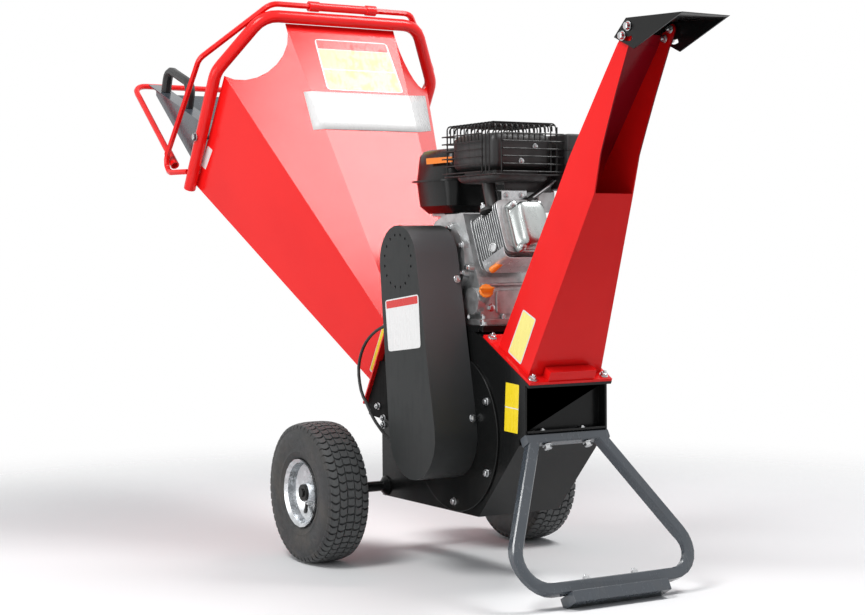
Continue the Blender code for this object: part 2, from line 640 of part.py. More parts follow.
# Axle with collars each side of the hubs and weld rings at the side plates
axle_half = WHEEL_Y + HUB_HALF + 0.010


def axle_profile():
    """Closed (radius, y) profile of the axle from end to end."""
    right = [(AXLE_COLLAR, WHEEL_Y + HUB_HALF + GAP + 0.006), (AXLE_COLLAR, WHEEL_Y + HUB_HALF + GAP),
             (AXLE_R, WHEEL_Y + HUB_HALF + GAP), (AXLE_R, WHEEL_Y - HUB_HALF - GAP),
             (AXLE_COLLAR, WHEEL_Y - HUB_HALF - GAP), (AXLE_COLLAR, WHEEL_Y - HUB_HALF - GAP - 0.006),
             (AXLE_R, WHEEL_Y - HUB_HALF - GAP - 0.006), (AXLE_R, HOUSE_HALF + 0.014), (0.024, HOUSE_HALF + GAP + 0.003),
             (0.024, HOUSE_HALF + GAP), (AXLE_R, HOUSE_HALF + GAP)]
    end = [(0.0, axle_half), (0.010, axle_half), (0.010, WHEEL_Y + HUB_HALF + GAP + 0.006)]
    outer = end + right
    return outer + [(r, -y) for r, y in outer[::-1]]


add("axle", turned(axle_profile(), 0.0, WHEEL_R, 12), "chassis", BLACK)

# Wheels: treaded tyre and deep-dish rim, u measured outward from the wheel's middle
BEAD_R = (RIM_R + GAP) / math.cos(math.pi / TYRE_STEPS)
TYRE = [(BEAD_R, 0.0440), (0.094, 0.0505), (0.126, 0.0530), (0.150, 0.0500), (WHEEL_R - 0.006, TREAD_HALF),
        (WHEEL_R, 0.028)]
TYRE_INNER = [(0.154, 0.034), (0.126, 0.0460), (BEAD_R, 0.0395)]
RIM = [(RIM_R, 0.0385), (0.0755, 0.0350), (0.0735, 0.0220), (0.0600, 0.0150)]
RIM_INNER = [(RIM_R, 0.0500), (0.0715, 0.0440), (0.0700, 0.0240), (0.0560, 0.0120), (0.0300, 0.0080), (0.0230, 0.0140),
             (0.0230, HUB_HALF), (HUB_BORE, HUB_HALF)]
tyre_profile = TYRE + [(r, -u) for r, u in TYRE[::-1]] + [(r, -u) for r, u in TYRE_INNER[::-1]] + TYRE_INNER
rim_profile = (RIM + [(r, -u) for r, u in RIM[::-1]] + [(RIM_R, -0.0500), (0.0715, -0.0440), (0.0700, -0.0240),
               (0.0560, 0.0060), (0.0300, 0.0030), (0.0230, -0.0040), (0.0230, -HUB_HALF), (HUB_BORE, -HUB_HALF)]
               + RIM_INNER[::-1])
for side, sign in (("near", -1), ("far", 1)):
    tyre = [(r, sign * (WHEEL_Y + u)) for r, u in tyre_profile]
    rim = [(r, sign * (WHEEL_Y + u)) for r, u in rim_profile]
    add("tyre_" + side, turned(tyre, 0.0, WHEEL_R, TYRE_STEPS), "wheel_" + side, RUBBER)
    add("wheel_rim_" + side, turned(rim, 0.0, WHEEL_R, 20), "wheel_" + side, ZINC)

# Stand: bent square tube welded to a crossbar under the housing's ledge
leg_foot_y = LOOP_Y + LOOP_R * math.cos(LEG_SPREAD)
leg_foot_s = LEG_LENGTH - LOOP_R - LOOP_R * math.sin(LEG_SPREAD)
loop = [stand_point(leg_foot_y - leg_foot_s * math.tan(LEG_SPREAD), 0.0)]
depths = [1.0]
for i in range(9):
    angle = math.pi / 2 + LEG_SPREAD - (math.pi / 2 + LEG_SPREAD) * i / 8
    depths.append(1.0 - BEND_FLAT * math.sin(math.pi * i / 8))
    loop.append(stand_point(LOOP_Y + LOOP_R * math.sin(angle), LEG_LENGTH - LOOP_R + LOOP_R * math.cos(angle)))
loop = loop + [Vector((p.x, -p.y, p.z)) for p in loop[::-1]]
depths = depths + depths[::-1]
plane_normal = Vector((math.cos(LEG_LEAN), 0.0, math.sin(LEG_LEAN)))
cross_path = [stand_point(-HOUSE_HALF, 0.0), stand_point(HOUSE_HALF, 0.0)]
cross_section = bar_section(TUBE / 2 - CROSS_T, TUBE / 2, TUBE / 2)
stand = add("stand", sweep(cross_path, cross_section, plane_normal), "chassis", SLATE)
leg_half = TUBE / 2 - 0.0001
weld(stand, sweep(loop, bar_section(-leg_half, leg_half, leg_half), plane_normal, depths))

pad_top = LEG_LENGTH + TUBE / 2 + GAP
pad_corners = [stand_point(0.0, pad_top, -PAD[0] / 2), stand_point(0.0, pad_top, PAD[0] / 2),
               stand_point(0.0, pad_top + PAD[1], PAD[0] / 2), stand_point(0.0, pad_top + PAD[1], -PAD[0] / 2)]
pad = add("stand_pad", prism([(p.x, p.z) for p in pad_corners], -PAD[2], PAD[2]), "chassis", SLATE)
cut(pad, box(0.5, 1.0, -0.3, 0.3, -0.1, 0.0))

# Discharge chute: tapered duct, open channel above its lip, flange and block
chute_foot = FLANGE_T + GAP


def chute_half(index):
    """Half width over the walls at a point of the chute's profile."""
    return CHUTE_BASE_HALF if index == 0 else CHUTE_TOP_HALF + 0.0005 * (index - 1)


outer_rings = []
for i, (rear, front) in enumerate(zip(CHUTE_BACK, CHUTE_FRONT)):
    h = chute_half(i)
    outer_rings.append([(rear[0], -h, rear[1]), (front[0], -h, front[1]), (front[0], h, front[1]), (rear[0], h, rear[1])])
chute = add("chute", loft(outer_rings), "chassis", RED)
plate = [flange_point(0.020, chute_foot), flange_point(flange_length, chute_foot),
         flange_point(flange_length, chute_foot + FLANGE_T), flange_point(0.020, chute_foot + FLANGE_T)]
weld(chute, prism([(p.x, p.z) for p in plate], -HOUSE_HALF, HOUSE_HALF))
for side in (-1, 1):
    ear_y = (side * (chute_half(5) - CHUTE_T), side * (chute_half(5) - 0.0002))
    ear = [CHUTE_BACK[5], (0.838, 1.118), (0.868, 1.100), CHUTE_FRONT[5]]
    for i in range(7):
        a = math.radians(-35.0 + 175.0 * i / 6)
        ear.append((CAP_PIVOT[0] + 0.0105 * math.cos(a), CAP_PIVOT[1] + 0.0105 * math.sin(a)))
    weld(chute, prism(ear, min(ear_y), max(ear_y)))


def inset(points, distance):
    """Open (x, z) line moved sideways, to its left along its run."""
    moved = []
    for i, point in enumerate(points):
        a = Vector(points[max(0, i - 1)])
        b = Vector(points[min(len(points) - 1, i + 1)])
        run = (b - a).normalized()
        moved.append((point[0] - run.y * distance, point[1] + run.x * distance))
    return moved


back_inner = inset(CHUTE_BACK, -CHUTE_T)
front_inner = inset(CHUTE_FRONT, CHUTE_T)
front_wide = inset(CHUTE_FRONT, -0.040)
duct_low = (0.060 * math.sin(0.42), 0.060 * math.cos(0.42))
base_h = CHUTE_BASE_HALF - CHUTE_T
low_h = base_h + (CHUTE_BASE_HALF - CHUTE_TOP_HALF) * 0.17
top_h = CHUTE_TOP_HALF - CHUTE_T
duct = [
    [(back_inner[0][0] - duct_low[0], -low_h, back_inner[0][1] - duct_low[1]),
     (front_inner[0][0] - duct_low[0], -low_h, front_inner[0][1] - duct_low[1]),
     (front_inner[0][0] - duct_low[0], low_h, front_inner[0][1] - duct_low[1]),
     (back_inner[0][0] - duct_low[0], low_h, back_inner[0][1] - duct_low[1])],
    [(back_inner[1][0], -top_h, back_inner[1][1]), (front_inner[1][0], -top_h, front_inner[1][1] + 0.002),
     (front_inner[1][0], top_h, front_inner[1][1] + 0.002), (back_inner[1][0], top_h, back_inner[1][1])]]
cut(chute, loft(duct))
channel = []
for i in range(1, 6):
    h = chute_half(i) - CHUTE_T
    back_xz, front_xz = back_inner[i], front_wide[i]
    if i == 1:
        back_xz = (back_xz[0] - 0.0002, back_xz[1] - 0.0008)
        front_xz = (CHUTE_FRONT[1][0] + 0.05, CHUTE_FRONT[1][1] - 0.004)
    channel.append([(back_xz[0], -h, back_xz[1]), (front_xz[0], -h, front_xz[1]), (front_xz[0], h, front_xz[1]),
                    (back_xz[0], h, back_xz[1])])
h = chute_half(5) - CHUTE_T
reach = Vector(CHUTE_BACK[5]) - Vector(CHUTE_BACK[4])
reach = reach.normalized() * 0.09
channel.append([(back_inner[5][0] + reach.x, -h, back_inner[5][1] + reach.y),
                (front_wide[5][0] + reach.x, -h, front_wide[5][1] + reach.y),
                (front_wide[5][0] + reach.x, h, front_wide[5][1] + reach.y),
                (back_inner[5][0] + reach.x, h, back_inner[5][1] + reach.y)])
cut(chute, loft(channel))
block_low = flange_point(flange_length - 0.026, chute_foot + FLANGE_T - 0.001)
block = [flange_point(flange_length - 0.003 - BLOCK[1], chute_foot + FLANGE_T - 0.001),
         flange_point(flange_length - 0.003, chute_foot + FLANGE_T - 0.001),
         flange_point(flange_length - 0.003, chute_foot + FLANGE_T + BLOCK[1]),
         flange_point(flange_length - 0.003 - BLOCK[1], chute_foot + FLANGE_T + BLOCK[1])]
weld(chute, prism([(p.x, p.z) for p in block], -BLOCK[0] / 2, BLOCK[0] / 2))

# Deflector cap, held by a pivot pin and a slot pin on each side
cap_outline = [CAP_REAR, CAP_LOW, CAP_TIP, CAP_CREST]
deflector = add("deflector", prism(cap_outline, -CAP_HALF, CAP_HALF), "deflector", BLACK)
crest_run = (Vector(CAP_TIP) - Vector(CAP_CREST)).normalized()
rear_run = (Vector(CAP_CREST) - Vector(CAP_REAR)).normalized()
crest_in = (CAP_CREST[0] + 0.0018, CAP_CREST[1] - CAP_T)
cap_cavity = [
    (CAP_REAR[0] + rear_run.y * CAP_T - rear_run.x * 0.02, CAP_REAR[1] - rear_run.x * CAP_T - rear_run.y * 0.02),
    (CAP_LOW[0] - 0.02, CAP_LOW[1] - 0.05), (CAP_TIP[0] + 0.06, CAP_TIP[1] - 0.02),
    (CAP_TIP[0] + 0.05 + crest_run.y * CAP_T, CAP_TIP[1] - crest_run.x * CAP_T + crest_run.y * 0.05), crest_in]
cut(deflector, prism(cap_cavity, -CAP_HALF + CAP_T, CAP_HALF - CAP_T))
slot_r = math.hypot(CAP_SLOT_PIN[0] - CAP_PIVOT[0], CAP_SLOT_PIN[1] - CAP_PIVOT[1])
slot_at = math.atan2(CAP_SLOT_PIN[1] - CAP_PIVOT[1], CAP_SLOT_PIN[0] - CAP_PIVOT[0])
slot_half = CAP_PIN_R + 0.0005
slot_ring = []
for radius, order in ((slot_r + slot_half, 1), (slot_r - slot_half, -1)):
    arc = []
    for i in range(9):
        a = slot_at - 0.20 + (CAP_TURN + 0.40) * i / 8
        arc.append((CAP_PIVOT[0] + radius * math.cos(a), CAP_PIVOT[1] + radius * math.sin(a)))
    slot_ring += arc[::order]
cut(deflector, prism(slot_ring, -CAP_HALF - 0.01, CAP_HALF + 0.01))
cut(deflector, disc(CAP_PIVOT[0], CAP_PIVOT[1], CAP_PIN_R + 0.0004, -CAP_HALF - 0.01, CAP_HALF + 0.01, 14))
for side in (-1, 1):
    for x, z in (CAP_PIVOT, CAP_SLOT_PIN):
        stem = (side * (chute_half(5) - 0.002), side * (CAP_HALF + 0.002))
        head = (side * (CAP_HALF + GAP), side * (CAP_HALF + 0.0055))
        weld(chute, disc(x, z, CAP_PIN_R, min(stem), max(stem), 10))
        weld(chute, disc(x, z, CAP_PIN_R + 0.0035, min(head), max(head), 8))

# Hopper: folded sheet funnel with round cut-outs at the rim's corners
side_slope = math.atan2(RIM_Y - HOUSE_HALF, MOUTH_OUT)
mouth_y = RIM_Y - (RIM_TUBE_R + GAP) / math.cos(math.atan((0.3052 - HOUSE_HALF) / MOUTH_OUT))
chamfer_share = 0.123
mouth_low = MOUTH_RISE + 0.008
mouth_mid = MOUTH_RISE + RIM_SIDE
mouth_top = MOUTH_RISE + RIM_TOP - (RIM_TUBE_R + GAP) / 0.878
throat_mid_y = HOUSE_HALF - (mouth_y - MOUTH_TOP_Y) * chamfer_share
throat_top = THROAT_H + (mouth_top - mouth_mid) * chamfer_share
sheet_foot = FLANGE_H + GAP


def funnel(y, up, mouth_y_at, mouth_up, out):
    """Point of a fold line between the throat and the mouth."""
    share = out / MOUTH_OUT
    return throat_point(y + (mouth_y_at - y) * share, up + (mouth_up - up) * share, out)


FOLDS = [(HOUSE_HALF, 0.0, mouth_y, mouth_low), (HOUSE_HALF, THROAT_H, mouth_y, mouth_mid),
         (throat_mid_y, throat_top, MOUTH_TOP_Y, mouth_top)]
bm = bmesh.new()
foot = {}
head = {}
for side in (-1, 1):
    for index, (y, up, wide, high) in enumerate(FOLDS):
        foot[side, index] = bm.verts.new(funnel(side * y, up, side * wide, high, sheet_foot))
        head[side, index] = bm.verts.new(funnel(side * y, up, side * wide, high, MOUTH_OUT - (0.012 if index == 1 else 0.0)))
bm.faces.new((foot[-1, 0], head[-1, 0], head[1, 0], foot[1, 0]))
bm.faces.new((foot[1, 2], head[1, 2], head[-1, 2], foot[-1, 2]))
for side in (-1, 1):
    bm.faces.new((foot[side, 0], foot[side, 1], head[side, 1], head[side, 0]))
    low, high = head[side, 1].co, head[side, 2].co
    chord = high - low
    inward = (foot[side, 1].co - low)
    inward = (inward - chord * inward.dot(chord) / chord.length_squared).normalized()
    bite_r = (chord.length_squared / 4 + BITE ** 2) / (2 * BITE)
    centre = low + chord / 2 + inward * (BITE - bite_r)
    swing = math.asin(chord.length / 2 / bite_r)
    swing = math.pi - swing if BITE > bite_r else swing
    arc = []
    for i in range(1, 9):
        a = -swing + 2 * swing * i / 9
        arc.append(bm.verts.new(centre + chord.normalized() * bite_r * math.sin(a) + inward * bite_r * math.cos(a)))
    bm.faces.new([foot[side, 1], foot[side, 2], head[side, 2]] + arc[::-1] + [head[side, 1]])
bmesh.ops.recalc_face_normals(bm, faces=bm.faces)
if bm.faces[0].normal.z > 0:
    bmesh.ops.reverse_faces(bm, faces=bm.faces)
funnel_mesh = bpy.data.meshes.new("funnel")
bm.to_mesh(funnel_mesh)
bm.free()
hopper = add("hopper_funnel", funnel_mesh, "hopper", RED, sharp=12.0)
skin = hopper.modifiers.new("sheet", "SOLIDIFY")
skin.thickness = SHEET
skin.offset = -1.0
skin.use_even_offset = True
skin.use_quality_normals = True
pin_in, pin_out = TRAY_HALF - TRAY_SHEET, RIM_Y + RIM_TUBE_R + 0.0003
for side in (-1, 1):
    cut(hopper, rod((TRAY_PIVOT.x, side * 0.27, TRAY_PIVOT.z), (TRAY_PIVOT.x, side * 0.33, TRAY_PIVOT.z), PIVOT_R + 0.002, 12))

# Throat flange of the hopper with its hinge ears
ring = [(HOUSE_HALF + 0.016, -0.056), (HOUSE_HALF + 0.016, THROAT_H - 0.002), (throat_mid_y + 0.006, throat_top + 0.014)]
hole = [(HOUSE_HALF - SHEET, 0.004), (HOUSE_HALF - SHEET, THROAT_H - 0.002), (throat_mid_y - 0.002, throat_top - SHEET)]


def plate_in_throat(half, out0, out1):
    """Solid of a mirrored (y, up) outline, standing out from the throat plane."""
    outline = half + [(-y, up) for y, up in half[::-1]]
    return loft([[throat_point(y, up, out0) for y, up in outline], [throat_point(y, up, out1) for y, up in outline]])


throat_flange = add("hopper_flange", plate_in_throat(ring, 0.0, FLANGE_H), "hopper", RED)
cut(throat_flange, plate_in_throat(hole, -0.02, 0.02))
cut(throat_flange, loft([[throat_point(y, up, -0.02) for y, up in ((-0.07, -0.1), (0.07, -0.1), (0.07, -0.016), (-0.07, -0.016))],
                         [throat_point(y, up, 0.02) for y, up in ((-0.07, -0.1), (0.07, -0.1), (0.07, -0.016), (-0.07, -0.016))]]))
tongue_a, tongue_b = throat_point(0.0, -0.050, 0.002), throat_point(0.0, -0.028, 0.002)
for side in (-1, 1):
    ear = [(tongue_b.x, tongue_b.z), (tongue_a.x, tongue_a.z)]
    for i in range(7):
        a = math.radians(-110.0 + 190.0 * i / 6)
        ear.append((HINGE_X + EAR_R * math.cos(a), HINGE_Z + EAR_R * math.sin(a)))
    ear_y = (side * (HOUSE_HALF - PLATE - 0.0005), side * (HOUSE_HALF - 0.0002))
    weld(throat_flange, prism(ear, min(ear_y), max(ear_y)))
    cut(throat_flange, disc(HINGE_X, HINGE_Z, 0.0053, min(ear_y) - 0.01, max(ear_y) + 0.01, 12))

# Hinge brackets on the housing, each with its hinge pin
hinge_dx, hinge_dz = HINGE_X - THROAT[0], HINGE_Z - THROAT[1]
hinge_up = hinge_dx * math.sin(HOPPER_LEAN) + hinge_dz * math.cos(HOPPER_LEAN)
hinge_out = hinge_dz * math.sin(HOPPER_LEAN) - hinge_dx * math.cos(HOPPER_LEAN)
clear_r = -hinge_out - 0.0007           # the flange's foot swings past the brackets at this radius
for name, side in (("hinge_bracket_near", -1), ("hinge_bracket_far", 1)):
    high = throat_point(0.0, 0.070, -0.0003)
    bracket = []
    for degrees in (0.0, 12.0, 24.0, 36.0, 46.0):
        a = math.radians(degrees)
        spot = throat_point(0.0, hinge_up - clear_r * math.sin(a), hinge_out + clear_r * math.cos(a))
        bracket.append((spot.x, spot.z))
    bracket += [(-0.071, 0.331), (-0.020, 0.326), (0.030, 0.326), (0.030, high.z), (high.x, high.z)]
    y0, y1 = HOUSE_HALF + GAP, HOUSE_HALF + 0.006
    span = (side * y0, side * y1)
    piece = add(name, prism(bracket, min(span), max(span)), "chassis", BLACK)
    pin = (side * (HOUSE_HALF - PLATE - 0.004), side * (HOUSE_HALF + 0.010))
    weld(piece, disc(HINGE_X, HINGE_Z, 0.005, min(pin), max(pin), 12))

# Rim tube, hand hoop with ferrules, its grip, outer bar
mouth_normal = Vector((-math.cos(HOPPER_LEAN), 0.0, math.sin(HOPPER_LEAN)))
rim_corners = [rim_point(-RIM_Y, -0.002), rim_point(-RIM_Y, RIM_SIDE), rim_point(-RIM_TOP_Y, RIM_TOP),
               rim_point(RIM_TOP_Y, RIM_TOP), rim_point(RIM_Y, RIM_SIDE), rim_point(RIM_Y, -0.002)]
rim_tube = add("hopper_rim", sweep(filleted(rim_corners, 0.070, 4), round_section(RIM_TUBE_R, 12), mouth_normal), "hopper", RED)
for side in (-1, 1):
    cut(rim_tube, rod((TRAY_PIVOT.x, side * (RIM_Y - 0.03), TRAY_PIVOT.z), (TRAY_PIVOT.x, side * (RIM_Y + 0.03), TRAY_PIVOT.z),
                      PIVOT_R + 0.0004, 12))

rim_at = (HOOP_LOW[1] - rim_point(0.0, 0.0).z) / math.cos(HOPPER_LEAN)
hoop_root = rim_point(-RIM_Y, rim_at)
hoop_low = Vector((HOOP_LOW[0], -HOOP_Y, HOOP_LOW[1]))
hoop_turn = Vector((HOOP_LOW[0] + HOOP_BENDS[0] * 2.5, -HOOP_Y, HOOP_LOW[1]))
hoop_knee = Vector((HOOP_KNEE[0], -HOOP_Y, HOOP_KNEE[1]))
hoop_high = Vector((HOOP_TOP[0], -HOOP_TOP_Y, HOOP_TOP[1]))
low_bend = filleted([hoop_turn, hoop_low, hoop_knee], HOOP_BENDS[0], 4)[:-1]
high_bends = filleted([hoop_low, hoop_knee, hoop_high, Vector((HOOP_TOP[0], 0.0, HOOP_TOP[1]))], HOOP_BENDS[1], 4)[1:-1]
hoop_path = [hoop_root + (hoop_turn - hoop_root).normalized() * HOOP_ROOT] + low_bend + high_bends
hoop_path = hoop_path + [Vector((p.x, -p.y, p.z)) for p in hoop_path[::-1]]


def tube(name, path, radius, body, look, resolution=2):
    """Round tube along a smooth path, as a curve with filled caps."""
    curve = bpy.data.curves.new(name, "CURVE")
    curve.dimensions = "3D"
    curve.bevel_depth = radius
    curve.bevel_resolution = resolution
    curve.use_fill_caps = True
    line = curve.splines.new("POLY")
    line.points.add(len(path) - 1)
    for point, place_at in zip(line.points, path):
        point.co = (*place_at, 1.0)
    surface = bpy.data.materials.new(name)
    surface.use_nodes = True
    shader = surface.node_tree.nodes["Principled BSDF"]
    shader.inputs["Base Color"].default_value = (*look[0], 1.0)
    shader.inputs["Roughness"].default_value = look[1]
    shader.inputs["Metallic"].default_value = look[2]
    curve.materials.append(surface)
    piece = bpy.data.objects.new(name, curve)
    piece.parent = PARENT[body]
    piece.location = -PARENT[body].location
    bpy.context.scene.collection.objects.link(piece)
    return piece


tube("hand_hoop", hoop_path, HOOP_R, "hopper", RED, 1)
grip = [(HOOP_R + 0.0004, -GRIP_HALF), (0.0135, -GRIP_HALF), (0.0135, -GRIP_HALF + 0.028), (0.0110, -GRIP_HALF + 0.029),
        (0.0110, GRIP_HALF - 0.029), (0.0135, GRIP_HALF - 0.028), (0.0135, GRIP_HALF), (HOOP_R + 0.0004, GRIP_HALF)]
add("hoop_grip", turned(grip, HOOP_TOP[0], HOOP_TOP[1], 14), "hopper", RED)

bar_run = Vector((-math.cos(BAR_ANGLE), 0.0, math.sin(BAR_ANGLE)))
bar_foot = Vector((BAR_FOOT[0], 0.0, BAR_FOOT[1]))
for name, side in (("ferrule_near", -1), ("ferrule_far", 1)):
    start = bar_foot + bar_run * -0.014 + Vector((0.0, side * BAR_Y, 0.0))
    end = bar_foot + bar_run * 0.044 + Vector((0.0, side * BAR_Y, 0.0))
    ferrule = add(name, rod(start, end, FERRULE_R, 16), "hopper", RED)
    cut(ferrule, rod(start - bar_run * 0.01, end + bar_run * 0.01, HOOP_R + 0.0004, 16))
bar_path = [bar_foot + Vector((0.0, -BAR_Y, 0.0)), bar_foot + bar_run * BAR_LENGTH + Vector((0.0, -BAR_Y, 0.0)),
            bar_foot + bar_run * BAR_LENGTH + Vector((0.0, BAR_Y, 0.0)), bar_foot + Vector((0.0, BAR_Y, 0.0))]
tube("outer_bar", filleted(bar_path, 0.038, 5), HOOP_R, "outer_bar", RED)

# Feed tray: sloping plate, cheeks, turned-in flanges, stop tabs, pivot bolts
tray_outline = [TRAY_TIP, TRAY_ROOT, TRAY_ROOT_TOP, TRAY_TIP_TOP]
root_side = [TRAY_TIP, TRAY_ROOT, (TRAY_PIVOT.x + 0.004, TRAY_PIVOT.z - 0.020), (TRAY_PIVOT.x + 0.012, TRAY_PIVOT.z + 0.006),
             TRAY_ROOT_TOP, TRAY_TIP_TOP]
tray = add("feed_tray", prism(root_side, -TRAY_HALF, TRAY_HALF), "tray", SLATE)
low_run = (Vector(TRAY_ROOT) - Vector(TRAY_TIP)).normalized()
top_run = (Vector(TRAY_ROOT_TOP) - Vector(TRAY_TIP_TOP)).normalized()
low_in = Vector((-low_run.y, low_run.x)) * TRAY_SHEET
top_in = Vector((top_run.y, -top_run.x)) * TRAY_SHEET
tray_cavity = [Vector(TRAY_TIP) + low_in - low_run * 0.010, Vector(TRAY_ROOT) + low_in + low_run * 0.05,
               Vector((TRAY_PIVOT.x + 0.06, TRAY_PIVOT.z - 0.05)), Vector((TRAY_PIVOT.x + 0.06, TRAY_PIVOT.z + 0.005)),
               Vector(TRAY_ROOT_TOP) + top_in + top_run * 0.02, Vector(TRAY_TIP_TOP) + top_in - top_run * 0.010]
inner_half = TRAY_HALF - TRAY_SHEET
cut(tray, prism([(p.x, p.y) for p in tray_cavity], -inner_half, inner_half))
mouth_cut = [Vector(TRAY_TIP_TOP) - top_run * 0.020 - top_in * 3, Vector(TRAY_TIP_TOP) - top_run * 0.020 + top_in * 1.5,
             Vector(TRAY_ROOT_TOP) + top_in * 1.5 + top_run * 0.05, Vector(TRAY_ROOT_TOP) - top_in * 3 + top_run * 0.05]
cut(tray, prism([(p.x, p.y) for p in mouth_cut], -TRAY_HALF + TRAY_FLANGE, TRAY_HALF - TRAY_FLANGE))
tray_up = Vector((-top_run.y, top_run.x))
ear_tip = Vector(TRAY_TIP_TOP) - top_run * TRAY_EAR
ear = [ear_tip, ear_tip + top_in, Vector(TRAY_TIP_TOP) + top_run * 0.010 + top_in, Vector(TRAY_TIP_TOP) + top_run * 0.010]
for side in (-1, 1):
    ear_y = (side * (TRAY_HALF - TRAY_FLANGE), side * TRAY_HALF)
    weld(tray, prism([(p.x, p.y) for p in ear], min(ear_y), max(ear_y)))
    weld(tray, rod((TRAY_PIVOT.x, side * (inner_half + 0.001), TRAY_PIVOT.z), (TRAY_PIVOT.x, side * (pin_out + 0.002), TRAY_PIVOT.z),
                   PIVOT_R, 12))
    weld(tray, rod((TRAY_PIVOT.x, side * pin_out, TRAY_PIVOT.z), (TRAY_PIVOT.x, side * (pin_out + 0.007), TRAY_PIVOT.z), 0.0105, 6))

# Bridge handle on the near flange of the tray
handle_y = -TRAY_HALF + TRAY_FLANGE / 2
handle_path = []
for distance, height in ((HANDLE_FEET[0], GAP), (HANDLE_FEET[0], HANDLE_H), (HANDLE_FEET[1], HANDLE_H), (HANDLE_FEET[1], GAP)):
    spot = Vector(TRAY_TIP_TOP) + top_run * distance + tray_up * height
    handle_path.append(Vector((spot.x, handle_y, spot.y)))
handle_section = [(HANDLE_HALF[0] * math.cos(math.pi * (i + 0.5) / 4), HANDLE_HALF[1] * math.sin(math.pi * (i + 0.5) / 4))
                  for i in range(8)]
add("tray_handle", sweep(filleted(handle_path, 0.030, 4), handle_section, Vector((0.0, 1.0, 0.0))), "tray", PLASTIC)

# Engine: crankcase with foot flange, power take-off cover and oil fillers
case_outline = [(CASE_X[0], BASE_Z + GAP), (CASE_X[1], BASE_Z + GAP), (CASE_X[1], BASE_Z + 0.075)]
deck_low = cylinder_point(CYL_START, -0.075)
deck_high = cylinder_point(CYL_START, 0.075)
case_outline += [(deck_low.x, deck_low.z), (deck_high.x, deck_high.z), (CRANK_X - 0.010, CRANK_Z + 0.105),
                 (CRANK_X - 0.060, CRANK_Z + 0.090), (CRANK_X - 0.096, CRANK_Z + 0.045), (CASE_X[0], CRANK_Z)]
crankcase = add("crankcase", prism(case_outline, PTO_Y + 0.014, CASE_Y), "chassis", ALLOY)
weld(crankcase, box(CASE_X[0] - 0.018, CASE_X[1] + 0.012, PTO_Y + 0.004, CASE_Y - 0.004, BASE_Z + GAP, BASE_Z + BASE_FLANGE))
weld(crankcase, disc(CRANK_X, CRANK_Z, 0.088, PTO_Y, PTO_Y + 0.020, 28))
weld(crankcase, disc(CRANK_X, CRANK_Z, 0.042, PTO_Y - 0.010, PTO_Y + 0.002, 20))
weld(crankcase, disc(0.372, 0.615, 0.030, PTO_Y + 0.002, PTO_Y + 0.020, 16))
cut(crankcase, disc(CRANK_X, CRANK_Z, 0.0315, PTO_Y + 0.005, -0.060, 20))
cut(crankcase, disc(CRANK_X, CRANK_Z, CRANK_R + 0.0008, PTO_Y - 0.02, PTO_Y + 0.01, 20))
neck = BODIES["dipstick"]
weld(crankcase, rod((0.372, -0.070, 0.612), (0.4185, -0.0888, 0.6370), 0.015, 12))


def squared(centre_out, half_up, half_y, centre_y=None):
    """Rectangular ring square to the cylinder's axis."""
    middle = CYL_Y if centre_y is None else centre_y
    return [cylinder_point(centre_out, -half_up, middle - half_y), cylinder_point(centre_out, half_up, middle - half_y),
            cylinder_point(centre_out, half_up, middle + half_y), cylinder_point(centre_out, -half_up, middle + half_y)]


def finned(start, end, core, fin, count, fin_t):
    """Solid block with square cooling fins along the cylinder's axis."""
    rings = [squared(start, core, core)]
    pitch = (end - start) / count
    for i in range(count):
        near = start + pitch * (i + 0.5) - fin_t / 2
        rings += [squared(near, core, core), squared(near, fin, fin), squared(near + fin_t, fin, fin),
                  squared(near + fin_t, core, core)]
    rings.append(squared(end, core, core))
    return loft(rings)


add("cylinder", finned(CYL_START + GAP, HEAD_START - GAP, BARREL_HALF, FIN_HALF, FINS, 0.003), "chassis", ALLOY)
head_block = add("cylinder_head", finned(HEAD_START, ROCKER_START - GAP, BARREL_HALF + 0.003, FIN_HALF + 0.001, HEAD_FINS, 0.003),
                 "chassis", ALLOY)


def on_cylinder(out0, out1, up0, up1, y0, y1):
    """Block square to the cylinder's axis."""
    corners = [cylinder_point(out0, up0), cylinder_point(out1, up0), cylinder_point(out1, up1), cylinder_point(out0, up1)]
    return prism([(corner.x, corner.z) for corner in corners], y0, y1)


cut(head_block, on_cylinder(HEAD_START - 0.010, PORT[0] + 0.021, PORT[1], 0.080, -0.090, PORT[2] + 0.029))
intake_in = cylinder_point(0.192, 0.040)
intake_rings = []
for (x, z), y, radius in (((intake_in.x, intake_in.z), 0.030, 0.012), ((CARB[0] + 0.040, CARB[4] + 0.026), CARB[2] - GAP, 0.010)):
    intake_rings.append([(x + radius * math.cos(math.pi * i / 6), y, z + radius * math.sin(math.pi * i / 6)) for i in range(12)])
weld(head_block, loft(intake_rings))
def rocker_ring(out, shrink):
    """Rectangular ring of the rocker cover, which hangs lower than the head's middle."""
    high, low, half_y = ROCKER_HALF[0] - shrink, -ROCKER_LOW + shrink, ROCKER_HALF[1] - shrink
    return [cylinder_point(out, low, CYL_Y - half_y), cylinder_point(out, high, CYL_Y - half_y),
            cylinder_point(out, high, CYL_Y + half_y), cylinder_point(out, low, CYL_Y + half_y)]


rocker = add("rocker_cover", loft([rocker_ring(ROCKER_START, 0.0), rocker_ring(ROCKER_START + 0.010, 0.0),
                                   rocker_ring(ROCKER_END, 0.008)]), "chassis", ALLOY,
             bevel=0.006, segments=1)

